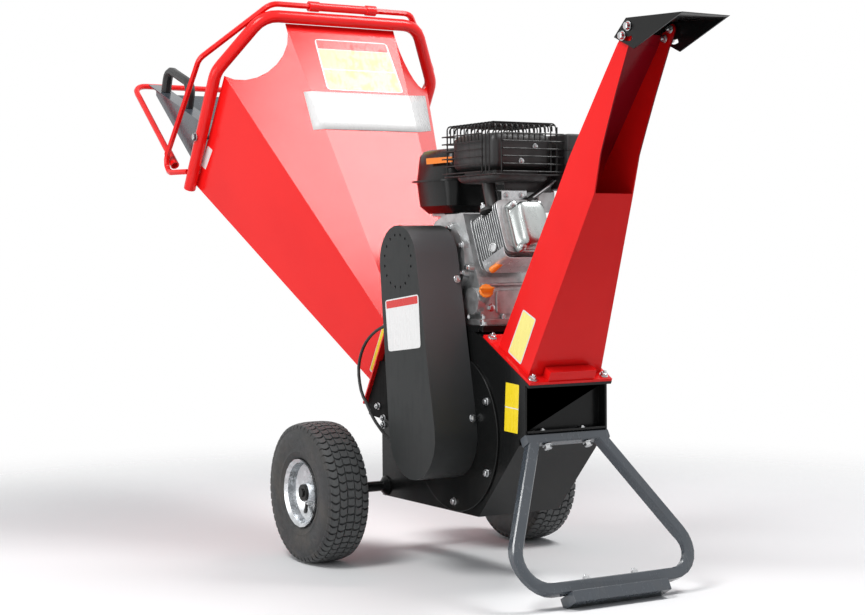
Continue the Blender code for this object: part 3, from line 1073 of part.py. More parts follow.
# Exhaust elbow, muffler and its wire cage
pan_top = CAGE[4] - CAGE_WIRE / 2 - 0.0006
elbow_start = cylinder_point(PORT[0], PORT[1] + 0.0050, PORT[2])
elbow_end = Vector((0.363, PORT[2], pan_top + 0.005))
elbow_cut_z = pan_top - PAN_T - GAP
elbow = add("exhaust_elbow", rod(elbow_start, elbow_end, 0.0140, 16), "chassis", BLACK)
cut(elbow, box(0.300, 0.430, -0.120, 0.020, elbow_cut_z, elbow_cut_z + 0.040))
weld(elbow, on_cylinder(PORT[0] - 0.019, PORT[0] + 0.019, PORT[1] + GAP, PORT[1] + 0.0065, PORT[2] - 0.025, PORT[2] + 0.025))
muffler = add("muffler", box(*MUFFLER), "chassis", BLACK, bevel=0.018, segments=3)
weld(muffler, box(CAGE[0], CAGE[1], CAGE[2], CAGE[3], pan_top - PAN_T, pan_top))
weld(muffler, box(MUFFLER[0] + 0.022, MUFFLER[1] - 0.022, MUFFLER[2] + 0.022, MUFFLER[3] - 0.022, pan_top - 0.001, MUFFLER[4] + 0.004))


def cage_mesh():
    """Open wire cage: grid over the near, front and top sides."""
    x0, x1, y0, y1, z0, z1 = CAGE
    nx, ny, nz = CAGE_CELLS
    grid = bmesh.new()
    xs = [x0 + (x1 - x0) * i / nx for i in range(nx + 1)]
    ys = [y0 + (y1 - y0) * i / ny for i in range(ny + 1)]
    zs = [z0 + (z1 - z0) * i / nz for i in range(nz + 1)]
    spots = {}

    def at(x, y, z):
        key = (round(x, 6), round(y, 6), round(z, 6))
        if key not in spots:
            spots[key] = grid.verts.new(key)
        return spots[key]

    for i in range(nx):
        for k in range(nz):
            grid.faces.new((at(xs[i], y0, zs[k]), at(xs[i + 1], y0, zs[k]), at(xs[i + 1], y0, zs[k + 1]), at(xs[i], y0, zs[k + 1])))
    for j in range(ny):
        for k in range(nz):
            grid.faces.new((at(x1, ys[j], zs[k]), at(x1, ys[j + 1], zs[k]), at(x1, ys[j + 1], zs[k + 1]), at(x1, ys[j], zs[k + 1])))
    for i in range(nx):
        for j in range(ny):
            grid.faces.new((at(xs[i], ys[j], z1), at(xs[i + 1], ys[j], z1), at(xs[i + 1], ys[j + 1], z1), at(xs[i], ys[j + 1], z1)))
    mesh = bpy.data.meshes.new("cage")
    grid.to_mesh(mesh)
    grid.free()
    return mesh


cage = add("muffler_cage", cage_mesh(), "chassis", BLACK)
wires = cage.modifiers.new("wires", "WIREFRAME")
wires.thickness = CAGE_WIRE
wires.use_boundary = True
wires.use_replace = True
wires.use_even_offset = False

# Fuel tank with its seam, brackets under it, air cleaner, carburettor
x0, x1, y0, y1, z0, z1 = TANK
tank_rings = []
for z, shrink in ((z0, 0.030), (z0 + 0.017, 0.010), (TANK_SEAM_Z - 0.002, 0.003), (TANK_SEAM_Z - 0.002, -0.009),
                  (TANK_SEAM_Z + 0.002, -0.009), (TANK_SEAM_Z + 0.002, 0.003), (z1 - 0.016, 0.010), (z1 - 0.004, 0.020), (z1, 0.034)):
    ring_points = []
    corner_r = 0.034
    for cx, cy, start in ((x1 - corner_r, y1 - corner_r, 0), (x0 + corner_r, y1 - corner_r, 90),
                          (x0 + corner_r, y0 + corner_r, 180), (x1 - corner_r, y0 + corner_r, 270)):
        for i in range(4):
            a = math.radians(start + 30 * i)
            ring_points.append((cx + (corner_r - shrink) * math.cos(a), cy + (corner_r - shrink) * math.sin(a), z))
    tank_rings.append(ring_points)
tank = add("fuel_tank", loft(tank_rings), "chassis", BLACK)
cap_place = BODIES["fuel_cap"]


def upright(x, y, profile, steps=20):
    """Solid of a (radius, z) profile turned about an upright line."""
    rings = []
    for step in range(steps):
        a = 2 * math.pi * step / steps
        rings.append([(x + r * math.cos(a), y + r * math.sin(a), z) for r, z in profile])
    return loft(rings, ring_closed=True)


weld(tank, upright(cap_place[0], cap_place[1], [(0.0, z1 - 0.004), (0.024, z1 - 0.004), (0.024, z1 + 0.006), (0.0, z1 + 0.006)], 16))
add("fuel_cap", upright(cap_place[0], cap_place[1], [(0.0, z1 + 0.0063), (0.030, z1 + 0.0063), (0.031, z1 + 0.018), (0.026, z1 + 0.024),
                                                     (0.0, z1 + 0.024)], 16), "fuel_cap", PLASTIC)
shoulder = Vector((CRANK_X - 0.060, CRANK_Z + 0.090))
hip = Vector((CRANK_X - 0.096, CRANK_Z + 0.045))
down = (hip - shoulder).normalized()
out = Vector((down.y, -down.x))
foot_a = shoulder + down * 0.010 + out * GAP
foot_b = shoulder + down * 0.050 + out * GAP
bracket = [foot_a, foot_b, foot_b + out * 0.004, (x0 + 0.070, z0 - GAP - 0.006), (x0 + 0.034, z0 - GAP - 0.006),
           (x0 + 0.034, z0 - GAP), (x0 + 0.090, z0 - GAP), foot_a + out * 0.004]
bracket_solid = prism([(p[0], p[1]) for p in bracket], -0.030, 0.010)
tank_foot = add("tank_bracket", bracket_solid, "chassis", STEEL)

air = AIRBOX
add("air_cleaner", box(*air), "chassis", PLASTIC, bevel=0.006, segments=2)
add("carburettor", box(CARB[0], CARB[1], CARB[2], CARB[3], CARB[4], AIRBOX[4] - GAP), "chassis", ALLOY, bevel=0.004,
    segments=1)

# Blower housing and recoil starter on the far side
blower = [(0.0, BLOWER_Y[0]), (BLOWER_R, BLOWER_Y[0]), (BLOWER_R, BLOWER_Y[1] - 0.020), (BLOWER_R - 0.020, BLOWER_Y[1]),
          (0.0, BLOWER_Y[1])]
blower_housing = add("blower_housing", turned(blower, CRANK_X, CRANK_Z, 28), "chassis", BLACK)
plate_top = BODIES["throttle"][2] - GAP
weld(blower_housing, box(0.2500, 0.340, 0.092, 0.125, CRANK_Z + BLOWER_R - 0.012, plate_top))
weld(blower_housing, box(STOP_BOX[0], STOP_BOX[1] + 0.010, STOP_BOX[2], STOP_BOX[3], STOP_BOX[4], STOP_BOX[5]))
recoil = [(0.0, BLOWER_Y[1] + GAP), (RECOIL_R, BLOWER_Y[1] + GAP), (RECOIL_R, RECOIL_Y - 0.014), (RECOIL_R - 0.020, RECOIL_Y),
          (0.0, RECOIL_Y)]
add("recoil_cover", turned(recoil, CRANK_X, CRANK_Z, 28), "chassis", BLACK)

# Safety switch and its cable loop
x0, x1, z0, z1 = SWITCH
switch_y = -HOUSE_HALF - GAP
switch = add("safety_switch", box(x0, x1, switch_y - SWITCH_DEPTH, switch_y, z0, z1), "chassis", PLASTIC)
gland = Vector((x0, switch_y - SWITCH_DEPTH / 2, (z0 + z1) / 2))
weld(switch, rod(gland + Vector((0.003, 0.0, 0.0)), gland - Vector((0.024, 0.0, 0.0)), 0.007, 12))


def spline(points, spacing):
    """Smooth curve through points, sampled about evenly."""
    points = [Vector(p) for p in points]
    dense = []
    ends = [2 * points[0] - points[1]] + points + [2 * points[-1] - points[-2]]
    for a, b, c, d in zip(ends, ends[1:], ends[2:], ends[3:]):
        for i in range(20):
            t = i / 20
            dense.append(0.5 * (2 * b + (c - a) * t + (2 * a - 5 * b + 4 * c - d) * t ** 2 + (3 * b - a - 3 * c + d) * t ** 3))
    dense.append(points[-1])
    length = sum((q - p).length for p, q in zip(dense, dense[1:]))
    count = max(2, round(length / spacing))
    path, travelled, goal = [dense[0]], 0.0, length / count
    for p, q in zip(dense, dense[1:]):
        step = (q - p).length
        while step > 0 and travelled + step >= goal and len(path) < count:
            path.append(p.lerp(q, (goal - travelled) / step))
            goal += length / count
        travelled += step
    path.append(dense[-1])
    return path


cable_start = gland - Vector((0.0246, 0.0, 0.0))
route = [cable_start, cable_start - Vector((0.012, 0.0, 0.0))] + [Vector(p) for p in CABLE_ROUTE[1:-1]]
route += [Vector((CABLE_END[0], -HOUSE_HALF - 0.014, CABLE_END[1])), Vector((CABLE_END[0], -HOUSE_HALF - GAP, CABLE_END[1]))]
tube("switch_cable", spline(route, 0.019), CABLE_R, "chassis", RUBBER, 2)

# Hand controls
neck_top = Vector((0.4185, -0.0888, 0.6370))
neck_run = (neck_top - Vector((0.372, -0.070, 0.612))).normalized()
dip = add("dipstick", rod(neck_top + neck_run * GAP, neck_top + neck_run * 0.012, 0.0150, 12), "dipstick", ORANGE)
weld(dip, loft([[neck_top + neck_run * 0.010 + Vector(v) for v in ((-0.006, 0.0, -0.012), (0.006, 0.0, -0.012), (0.006, 0.0, 0.012),
                                                                   (-0.006, 0.0, 0.012))],
                [neck_top + neck_run * 0.024 + Vector(v) for v in ((-0.003, 0.0, -0.011), (0.003, 0.0, -0.011), (0.003, 0.0, 0.011),
                                                                   (-0.003, 0.0, 0.011))]]))
throttle = BODIES["throttle"]
lever = [(throttle[0] + 0.009 * math.cos(a), throttle[1] + 0.009 * math.sin(a))
         for a in [math.radians(15.0 * i - 15.0) for i in range(-12, 3)]]
lever = [(throttle[0] + 0.006, throttle[1] + 0.075), (throttle[0] - 0.006, throttle[1] + 0.075)] + lever
add("throttle_lever", loft([[(x, y, throttle[2]) for x, y in lever], [(x, y, throttle[2] + LEVER_T) for x, y in lever]]),
    "throttle", PLASTIC)


def flag_lever(centre, length, width, y0, y1, angle):
    """Flat lever with a round hub, turning about Y."""
    c, s = math.cos(angle), math.sin(angle)
    outline = [(length, width / 2), (0.0, width / 2 + 0.002)]
    for i in range(1, 8):
        a = math.radians(90.0 + 180.0 * i / 8)
        outline.append(((width / 2 + 0.002) * math.cos(a), (width / 2 + 0.002) * math.sin(a)))
    outline += [(0.0, -width / 2 - 0.002), (length, -width / 2)]
    return prism([(centre[0] + a * c - b * s, centre[2] + a * s + b * c) for a, b in outline], y0, y1)


lever_y = CARB[3] + GAP
add("choke_lever", flag_lever(BODIES["choke"], 0.030, 0.010, lever_y, lever_y + LEVER_T, math.radians(180.0)), "choke", PLASTIC)
add("fuel_tap", flag_lever(BODIES["fuel_tap"], 0.024, 0.008, lever_y, lever_y + LEVER_T, 0.0), "fuel_tap", ORANGE)
stop = BODIES["engine_switch"]
add("engine_switch", flag_lever(stop, 0.016, 0.008, STOP_BOX[3] + GAP, STOP_BOX[3] + 0.008, math.radians(90.0)), "engine_switch", ORANGE)
pull = Vector(BODIES["recoil"])
pull_run = Vector((math.cos(PULL_ANGLE), 0.0, math.sin(PULL_ANGLE)))
pull_side = Vector((-pull_run.z, 0.0, pull_run.x))
grip_rings = []
for out, half_y, half_s in ((0.0004, 0.007, 0.010), (0.010, 0.008, 0.020), (0.020, 0.010, 0.034), (0.030, 0.009, 0.034)):
    centre = pull + pull_run * out
    grip_rings.append([centre + pull_side * half_s * math.cos(2 * math.pi * (i + 0.5) / 8) * 1.08
                       + Vector((0.0, half_y * math.sin(2 * math.pi * (i + 0.5) / 8) * 1.08, 0.0)) for i in range(8)])
add("recoil_handle", loft(grip_rings), "recoil", PLASTIC)
print("middle x", MIDDLE_X, "tray pivot", tuple(TRAY_PIVOT))
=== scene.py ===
"""Petrol wood chipper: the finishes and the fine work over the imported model.

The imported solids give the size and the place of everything. Sheet metal and castings are
shown with their corners eased, tyres get their tread, the engine its fins, screws and wires,
and every surface a finish built from nodes. Lengths are metres, Z is up.
"""
import json
import math

import bmesh
import bpy
import numpy as np
from mathutils import Matrix, Vector


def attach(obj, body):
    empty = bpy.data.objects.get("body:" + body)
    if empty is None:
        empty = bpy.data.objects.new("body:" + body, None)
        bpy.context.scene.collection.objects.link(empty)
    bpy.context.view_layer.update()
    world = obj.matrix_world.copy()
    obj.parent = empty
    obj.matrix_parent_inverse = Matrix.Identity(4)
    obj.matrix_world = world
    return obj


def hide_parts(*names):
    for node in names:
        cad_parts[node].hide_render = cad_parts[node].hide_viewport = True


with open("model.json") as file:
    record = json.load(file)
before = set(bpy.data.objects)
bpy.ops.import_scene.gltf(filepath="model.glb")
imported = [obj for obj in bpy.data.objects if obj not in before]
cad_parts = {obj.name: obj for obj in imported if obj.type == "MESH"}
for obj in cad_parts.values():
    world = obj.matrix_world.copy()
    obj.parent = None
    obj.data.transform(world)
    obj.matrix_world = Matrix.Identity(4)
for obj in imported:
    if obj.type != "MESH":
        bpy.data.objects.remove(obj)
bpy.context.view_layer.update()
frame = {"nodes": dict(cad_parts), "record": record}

MIDDLE_X = 0.004782289     # the wheel axle stands this far behind the middle of the object
AXLE_X, WHEEL_Z = -MIDDLE_X, 0.165
TURN = 2.0 * math.pi
BODY_OF = {}
for body_name, body_nodes in frame["record"]["behaviour"]["bodies"].items():
    BODY_OF.update(dict.fromkeys(body_nodes, body_name))


# ------------------------------------------------------------------ camera and light
EYE = (3.590883 - MIDDLE_X, -2.145410, 0.723428)
YAW, PITCH, ROLL = 0.5440398832, 0.0318473149, -0.0081395340
FOCAL_PIXELS = 1723.409
IMAGE_WIDTH = 865.0
SENSOR_WIDTH = 36.0


def place_camera():
    """The camera looks along yaw and pitch, then turns by its roll about that line."""
    aim = Vector((-math.cos(YAW) * math.cos(PITCH), math.sin(YAW) * math.cos(PITCH), -math.sin(PITCH)))
    right = aim.cross(Vector((0.0, 0.0, 1.0))).normalized()
    up = right.cross(aim)
    across = right * math.cos(ROLL) + up * math.sin(ROLL)
    above = up * math.cos(ROLL) - right * math.sin(ROLL)
    data = bpy.data.cameras.new("camera")
    data.sensor_fit = "HORIZONTAL"
    data.sensor_width = SENSOR_WIDTH
    data.lens = FOCAL_PIXELS * SENSOR_WIDTH / IMAGE_WIDTH
    data.clip_end = 60.0
    camera = bpy.data.objects.new("camera", data)
    turn = Matrix((across, above, -aim)).transposed()
    camera.matrix_world = Matrix.Translation(EYE) @ turn.to_4x4()
    bpy.context.scene.collection.objects.link(camera)
    bpy.context.scene.camera = camera


place_camera()
bpy.context.scene.view_settings.view_transform = "Standard"


def soft_lamp(name, place, target, size, watts):
    """A square area lamp that faces a point."""
    data = bpy.data.lights.new(name, "AREA")
    data.shape = "RECTANGLE"
    data.size, data.size_y = size
    data.energy = watts
    lamp = bpy.data.objects.new(name, data)
    aim = Vector(target) - Vector(place)
    lamp.matrix_world = Matrix.Translation(place) @ aim.to_track_quat("-Z", "Y").to_matrix().to_4x4()
    bpy.context.scene.collection.objects.link(lamp)


HOPPER_MIDDLE = Vector((-0.20, 0.0, 0.95))
LAMP_REACH = 2.9
for lamp_name, way, watts in (("lamp_behind_right", (0.40, 0.49, 0.77), 62.0),
                              ("lamp_high_left", (0.35, -0.66, 0.66), 56.0)):
    soft_lamp(lamp_name, HOPPER_MIDDLE + LAMP_REACH * Vector(way), HOPPER_MIDDLE, (1.15, 1.15), watts)
soft_lamp("lamp_low_left", (-0.3, -4.2, 1.0), (0.0, 0.0, 0.6), (2.4, 1.8), 43.0)


# ------------------------------------------------------------------ node trees in short words
class Shader:
    """A node tree being built: each call adds one node and returns its output."""

    def __init__(self, tree):
        self.tree = tree

    def node(self, kind, **settings):
        made = self.tree.nodes.new("ShaderNode" + kind)
        for key, value in settings.items():
            setattr(made, key, value)
        return made

    def feed(self, socket, value):
        if isinstance(value, bpy.types.NodeSocket):
            self.tree.links.new(value, socket)
        else:
            socket.default_value = value

    def math(self, operation, first, second=0.0, clamp=False):
        made = self.node("Math", operation=operation, use_clamp=clamp)
        self.feed(made.inputs[0], first)
        self.feed(made.inputs[1], second)
        return made.outputs[0]

    def step(self, value, low, high, start=0.0, end=1.0):
        """A smooth rise from start to end while the value goes from low to high."""
        made = self.node("MapRange", interpolation_type="SMOOTHSTEP")
        for index, item in enumerate((value, low, high, start, end)):
            self.feed(made.inputs[index], item)
        return made.outputs[0]

    def noise(self, place, scale, detail=2.0, roughness=0.5):
        made = self.node("TexNoise")
        self.feed(made.inputs["Vector"], place)
        self.feed(made.inputs["Scale"], scale)
        made.inputs["Detail"].default_value = detail
        made.inputs["Roughness"].default_value = roughness
        return made.outputs["Fac"]

    def cells(self, place, scale, feature="F1", output="Distance"):
        made = self.node("TexVoronoi", feature=feature)
        self.feed(made.inputs["Vector"], place)
        self.feed(made.inputs["Scale"], scale)
        return made.outputs[output]

    def moved(self, place, shift=(0.0, 0.0, 0.0), turn=(0.0, 0.0, 0.0), scale=(1.0, 1.0, 1.0)):
        made = self.node("Mapping")
        self.feed(made.inputs["Vector"], place)
        made.inputs["Location"].default_value = shift
        made.inputs["Rotation"].default_value = turn
        made.inputs["Scale"].default_value = scale
        return made.outputs[0]

    def mix(self, factor, first, second):
        made = self.node("Mix", data_type="RGBA")
        self.feed(made.inputs[0], factor)
        for socket, value in ((made.inputs[6], first), (made.inputs[7], second)):
            self.feed(socket, (*value, 1.0) if isinstance(value, tuple) else value)
        return made.outputs[2]

    def split(self, vector):
        made = self.node("SeparateXYZ")
        self.feed(made.inputs[0], vector)
        return made.outputs


SKIN_OUTPUTS = ("Height", "Tone", "Smear", "Wear", "Dust")


def new_skin(name, **inputs):
    """A node group with a place and numbers going in, and a surface's masks coming out."""
    tree = bpy.data.node_groups.new(name, "ShaderNodeTree")
    tree.interface.new_socket("Place", in_out="INPUT", socket_type="NodeSocketVector")
    for label, value in inputs.items():
        socket = tree.interface.new_socket(label, in_out="INPUT", socket_type="NodeSocketFloat")
        socket.default_value = value
    for label in SKIN_OUTPUTS:
        tree.interface.new_socket(label, in_out="OUTPUT", socket_type="NodeSocketFloat")
    shader = Shader(tree)
    return shader, tree.nodes.new("NodeGroupInput").outputs, tree.nodes.new("NodeGroupOutput").inputs


def ground_dust(shader, place, reach):
    """Dust thins out with height: full at the floor, none at the reach, broken by noise."""
    height = shader.split(place)[2]
    fall = shader.step(shader.math("DIVIDE", height, reach), 1.0, 0.0)
    patches = shader.step(shader.noise(place, 14.0, 5.0, 0.65), 0.42, 0.72)
    return shader.math("MULTIPLY", fall, patches, clamp=True)


def paint_skin():
    """Sprayed paint: a fine ripple, slow waves in the sheet, dull smears, chips and dust."""
    shader, given, out = new_skin("sprayed_paint", ripple=420.0, chips=0.0, dust_reach=0.45)
    place = given["Place"]
    ripple = shader.noise(place, given["ripple"], 2.0)
    waves = shader.noise(place, 9.0, 1.0)
    shader.feed(out["Height"], shader.math("ADD", shader.math("MULTIPLY", ripple, 0.35), waves))
    shader.feed(out["Tone"], shader.step(shader.noise(place, 5.0, 3.0), 0.25, 0.78))
    cloud = shader.noise(place, 22.0, 6.0, 0.6)
    streak = shader.noise(shader.moved(place, scale=(60.0, 60.0, 6.0)), 1.6, 3.0)
    shader.feed(out["Smear"], shader.step(shader.math("ADD", cloud, streak), 0.75, 1.35))
    chips = shader.step(shader.noise(place, 75.0, 5.0, 0.7), 0.70, 0.74)
    shader.feed(out["Wear"], shader.math("MULTIPLY", chips, given["chips"], clamp=True))
    shader.feed(out["Dust"], ground_dust(shader, place, given["dust_reach"]))
    return shader.tree


def cast_skin():
    """Sand-cast or die-cast metal: a pebbled grain, stains and small bright rubs."""
    shader, given, out = new_skin("cast_metal", grain=700.0, stain=0.6, dust_reach=0.45)
    place = given["Place"]
    grain = shader.cells(place, given["grain"])
    lumps = shader.noise(place, 120.0, 4.0)
    shader.feed(out["Height"], shader.math("ADD", shader.math("MULTIPLY", grain, 0.5), lumps))
    stain = shader.step(shader.noise(place, 34.0, 6.0, 0.62), 0.40, 0.72)
    shader.feed(out["Tone"], shader.math("MULTIPLY", stain, given["stain"], clamp=True))
    shader.feed(out["Smear"], shader.noise(place, 60.0, 4.0))
    rubs = shader.step(shader.noise(place, 210.0, 3.0), 0.66, 0.74)
    shader.feed(out["Wear"], shader.math("MULTIPLY", rubs, 0.5))
    shader.feed(out["Dust"], ground_dust(shader, place, given["dust_reach"]))
    return shader.tree


def plated_skin():
    """Zinc on steel: crystals of slightly different grey, drawn lines and dull clouds."""
    shader, given, out = new_skin("zinc_plating", crystals=160.0, dust_reach=0.30)
    place = given["Place"]
    bent = shader.node("VectorMath", operation="ADD")
    shader.feed(bent.inputs[0], place)
    wobble = shader.node("TexNoise")
    shader.feed(wobble.inputs["Vector"], place)
    wobble.inputs["Scale"].default_value = 90.0
    small = shader.node("VectorMath", operation="SCALE")
    shader.feed(small.inputs[0], wobble.outputs["Color"])
    small.inputs["Scale"].default_value = 0.006
    shader.feed(bent.inputs[1], small.outputs[0])
    crystal = shader.cells(bent.outputs[0], given["crystals"], output="Color")
    grey = shader.split(crystal)[0]
    shader.feed(out["Tone"], grey)
    lines = shader.noise(shader.moved(place, scale=(1.0, 1.0, 40.0)), 30.0, 3.0)
    shader.feed(out["Height"], shader.math("ADD", shader.math("MULTIPLY", grey, 0.3), lines))
    shader.feed(out["Smear"], shader.noise(place, 48.0, 5.0, 0.6))
    shader.feed(out["Wear"], shader.step(shader.noise(place, 30.0, 6.0, 0.7), 0.58, 0.78))
    shader.feed(out["Dust"], ground_dust(shader, place, given["dust_reach"]))
    return shader.tree


def moulded_skin():
    """Moulded plastic or rubber: spark-eroded grain, flow clouds, scuffs and dust."""
    shader, given, out = new_skin("moulded_grain", grain=1400.0, dust_reach=0.45)
    place = given["Place"]
    grain = shader.noise(place, given["grain"], 1.0)
    pebble = shader.cells(place, shader.math("MULTIPLY", given["grain"], 0.45))
    shader.feed(out["Height"], shader.math("ADD", grain, shader.math("MULTIPLY", pebble, 0.4)))
    shader.feed(out["Tone"], shader.noise(place, 26.0, 4.0))
    shader.feed(out["Smear"], shader.noise(place, 70.0, 5.0, 0.65))
    scuffs = shader.noise(shader.moved(place, turn=(0.6, 0.3, 0.9), scale=(14.0, 160.0, 90.0)), 1.0, 4.0)
    shader.feed(out["Wear"], shader.step(scuffs, 0.64, 0.74))
    shader.feed(out["Dust"], ground_dust(shader, place, given["dust_reach"]))
    return shader.tree


SKINS = {"paint": paint_skin(), "cast": cast_skin(), "plated": plated_skin(), "moulded": moulded_skin()}
EARTH = (0.210, 0.175, 0.135)


FINISH = {}
# Painted light and shadow come in on faces over this range of a normal's part along X.
PAINTED_SHADING_FACING = (0.35, 0.65)     # the part along X of a normal, from not in front to in front
CROWN_BAND = (0.156, 0.162)     # distance from the axle where a tyre's side turns into its tread


def tint(value):
    """A colour of three parts; one number stands for a grey."""
    return value if isinstance(value, tuple) else (value, value, value)


def finish(key, name, skin, main, second, rough, metallic=0.0, coat=0.0, depth=0.0002, dust=0.25,
           wear=None, worn=0.0, specular=0.5, painted_shading=None, crown=None, **values):
    """A material: two close colours by tone, wear and dust over them, roughness between two
    values by the smears, and the skin's height as bump. The shading (low, high, colour) is
    painted light and shadow: on what faces front it takes over the colour with height. A crown
    is the colour far out from the wheel's axle, partly worn tread and partly a painted highlight."""
    material = bpy.data.materials.new(name)
    material.use_nodes = True
    tree = material.node_tree
    shader = Shader(tree)
    surface = tree.nodes["Principled BSDF"]
    surface.inputs["Metallic"].default_value = metallic
    surface.inputs["Coat Weight"].default_value = coat
    surface.inputs["Coat Roughness"].default_value = 0.12
    surface.inputs["Specular IOR Level"].default_value = specular
    place = shader.node("TexCoord").outputs["Object"]
    group = shader.node("Group", node_tree=SKINS[skin])
    shader.feed(group.inputs["Place"], place)
    for label, value in values.items():
        group.inputs[label].default_value = value
    colour = shader.mix(group.outputs["Tone"], tint(main), tint(second))
    if wear:
        colour = shader.mix(shader.math("MULTIPLY", group.outputs["Wear"], worn), colour, tint(wear))
    dusty = shader.math("MULTIPLY", group.outputs["Dust"], dust)
    colour = shader.mix(dusty, colour, EARTH)
    # Painted light and shadow: faces that look along X take the given colour with height, standing in for a
    # shadow or a sheen that falls there.
    if painted_shading:
        front = shader.step(shader.split(shader.node("NewGeometry").outputs["Normal"])[0], *PAINTED_SHADING_FACING)
        high = shader.step(shader.split(place)[2], painted_shading[0], painted_shading[1])
        colour = shader.mix(shader.math("MULTIPLY", front, high), colour, painted_shading[2])
    # A painted highlight, partly real wear: the tread far out from the axle is made lighter than the side
    # walls.
    if crown:
        reach = shader.node("VectorMath", operation="LENGTH")
        shader.feed(reach.inputs[0], shader.moved(place, shift=(-AXLE_X, 0.0, -WHEEL_Z), scale=(1.0, 0.0, 1.0)))
        colour = shader.mix(shader.step(reach.outputs["Value"], *CROWN_BAND), colour, crown)
    shader.feed(surface.inputs["Base Color"], colour)
    shine = shader.step(group.outputs["Smear"], 0.2, 0.8, rough[0], rough[1])
    dull = shader.math("MULTIPLY", dusty, 0.5)
    shader.feed(surface.inputs["Roughness"], shader.math("ADD", shine, dull, clamp=True))
    bump = shader.node("Bump")
    bump.inputs["Distance"].default_value = depth
    bump.inputs["Strength"].default_value = 1.0
    shader.feed(bump.inputs["Height"], group.outputs["Height"])
    shader.feed(surface.inputs["Normal"], bump.outputs[0])
    FINISH[key] = material


RED_LOOK = {"depth": 0.000018, "dust": 0.03, "wear": (0.50, 0.012, 0.012), "worn": 0.3, "chips": 0.2,
            "ripple": 620.0}
PLATE_LOOK = {"depth": 0.00002, "dust": 0.06, "worn": 0.4, "chips": 0.5}
finish("red", "red_powder_coat", "paint", (0.880, 0.012, 0.011), (0.830, 0.009, 0.009), (0.205, 0.235),
       specular=0.33, **RED_LOOK)
# A shaded copy of the hopper's red, a little darker and with less specular; its shading is a painted shadow
# that turns the upper front faces, under the deflector, dark crimson.
finish("red_chute", "red_powder_coat_chute_painted_shadow", "paint", (0.840, 0.011, 0.011), (0.780, 0.008, 0.008),
       (0.20, 0.26), specular=0.16, painted_shading=(0.86, 0.94, (0.24, 0.002, 0.009)), **RED_LOOK)
# Its shading is painted light: the guard's front wall turns pale grey towards the top, a painted sheen.
finish("guard", "black_guard_coat_painted_sheen", "paint", (0.027, 0.029, 0.029), (0.032, 0.033, 0.033), (0.34, 0.44),
       specular=0.12, depth=0.00005, dust=0.04, wear=0.07, worn=0.3, chips=0.3,
       painted_shading=(0.30, 0.66, (0.100, 0.100, 0.102)))
finish("dull_black", "dull_black_paint", "paint", 0.0045, 0.007, (0.45, 0.55), specular=0.05,
       depth=0.00004, dust=0.02, wear=0.05, worn=0.3, chips=0.3)
finish("black", "black_gloss_paint", "paint", (0.0062, 0.0066, 0.0066), (0.0085, 0.0088, 0.0088),
       (0.21, 0.25), specular=0.21, depth=0.00004, dust=0.04, wear=0.05, worn=0.3, chips=0.3)
finish("wire", "black_wire_paint", "paint", 0.004, 0.008, (0.34, 0.50), specular=0.25, depth=0.00004,
       dust=0.0, wear=(0.05, 0.035, 0.025), worn=0.4, chips=0.5, ripple=900.0)
finish("slate", "slate_grey_paint", "paint", (0.058, 0.070, 0.084), (0.046, 0.056, 0.068), (0.16, 0.28),
       coat=0.25, depth=0.00005, dust=0.06, wear=0.16, worn=0.3, chips=0.4, ripple=700.0)
finish("sheet", "bright_sheet", "plated", (0.800, 0.810, 0.820), (0.700, 0.710, 0.720), (0.24, 0.40),
       metallic=0.70, depth=0.00004, dust=0.0, wear=(0.60, 0.59, 0.57), worn=0.4)
finish("label_pale", "pale_yellow_blank_plate", "paint", (0.930, 0.830, 0.260), (0.880, 0.780, 0.230),
       (0.24, 0.38), depth=0.00002, dust=0.04, wear=(0.60, 0.52, 0.16), worn=0.3, chips=0.4)
finish("muffler", "black_heat_paint", "paint", (0.012, 0.012, 0.013), (0.024, 0.023, 0.022), (0.42, 0.60),
       depth=0.00012, dust=0.0, wear=(0.08, 0.05, 0.035), worn=0.5, chips=0.5, ripple=900.0)
finish("alloy", "cast_aluminium", "cast", (0.470, 0.478, 0.480), (0.250, 0.252, 0.254), (0.32, 0.56),
       metallic=0.80, depth=0.00018, dust=0.10, wear=0.80, worn=0.6)
finish("bright", "bright_die_casting", "cast", (0.400, 0.422, 0.415), (0.340, 0.356, 0.350), (0.24, 0.32),
       metallic=1.0, depth=0.000012, dust=0.0, grain=240.0, stain=0.35)
finish("zinc", "zinc_plated_steel", "plated", (0.600, 0.610, 0.620), (0.480, 0.490, 0.500), (0.20, 0.36),
       metallic=1.0, depth=0.00006, dust=0.10, wear=(0.42, 0.38, 0.30), worn=0.4)
finish("rim", "galvanised_rim", "plated", (0.660, 0.680, 0.700), (0.500, 0.515, 0.530), (0.16, 0.30),
       metallic=0.95, depth=0.00006, dust=0.30, wear=(0.42, 0.40, 0.37), worn=0.3, crystals=110.0)
finish("steel", "machined_steel", "plated", (0.420, 0.420, 0.415), (0.330, 0.330, 0.325), (0.26, 0.42),
       metallic=1.0, depth=0.00006, dust=0.10, wear=(0.20, 0.12, 0.07), worn=0.5, crystals=400.0)
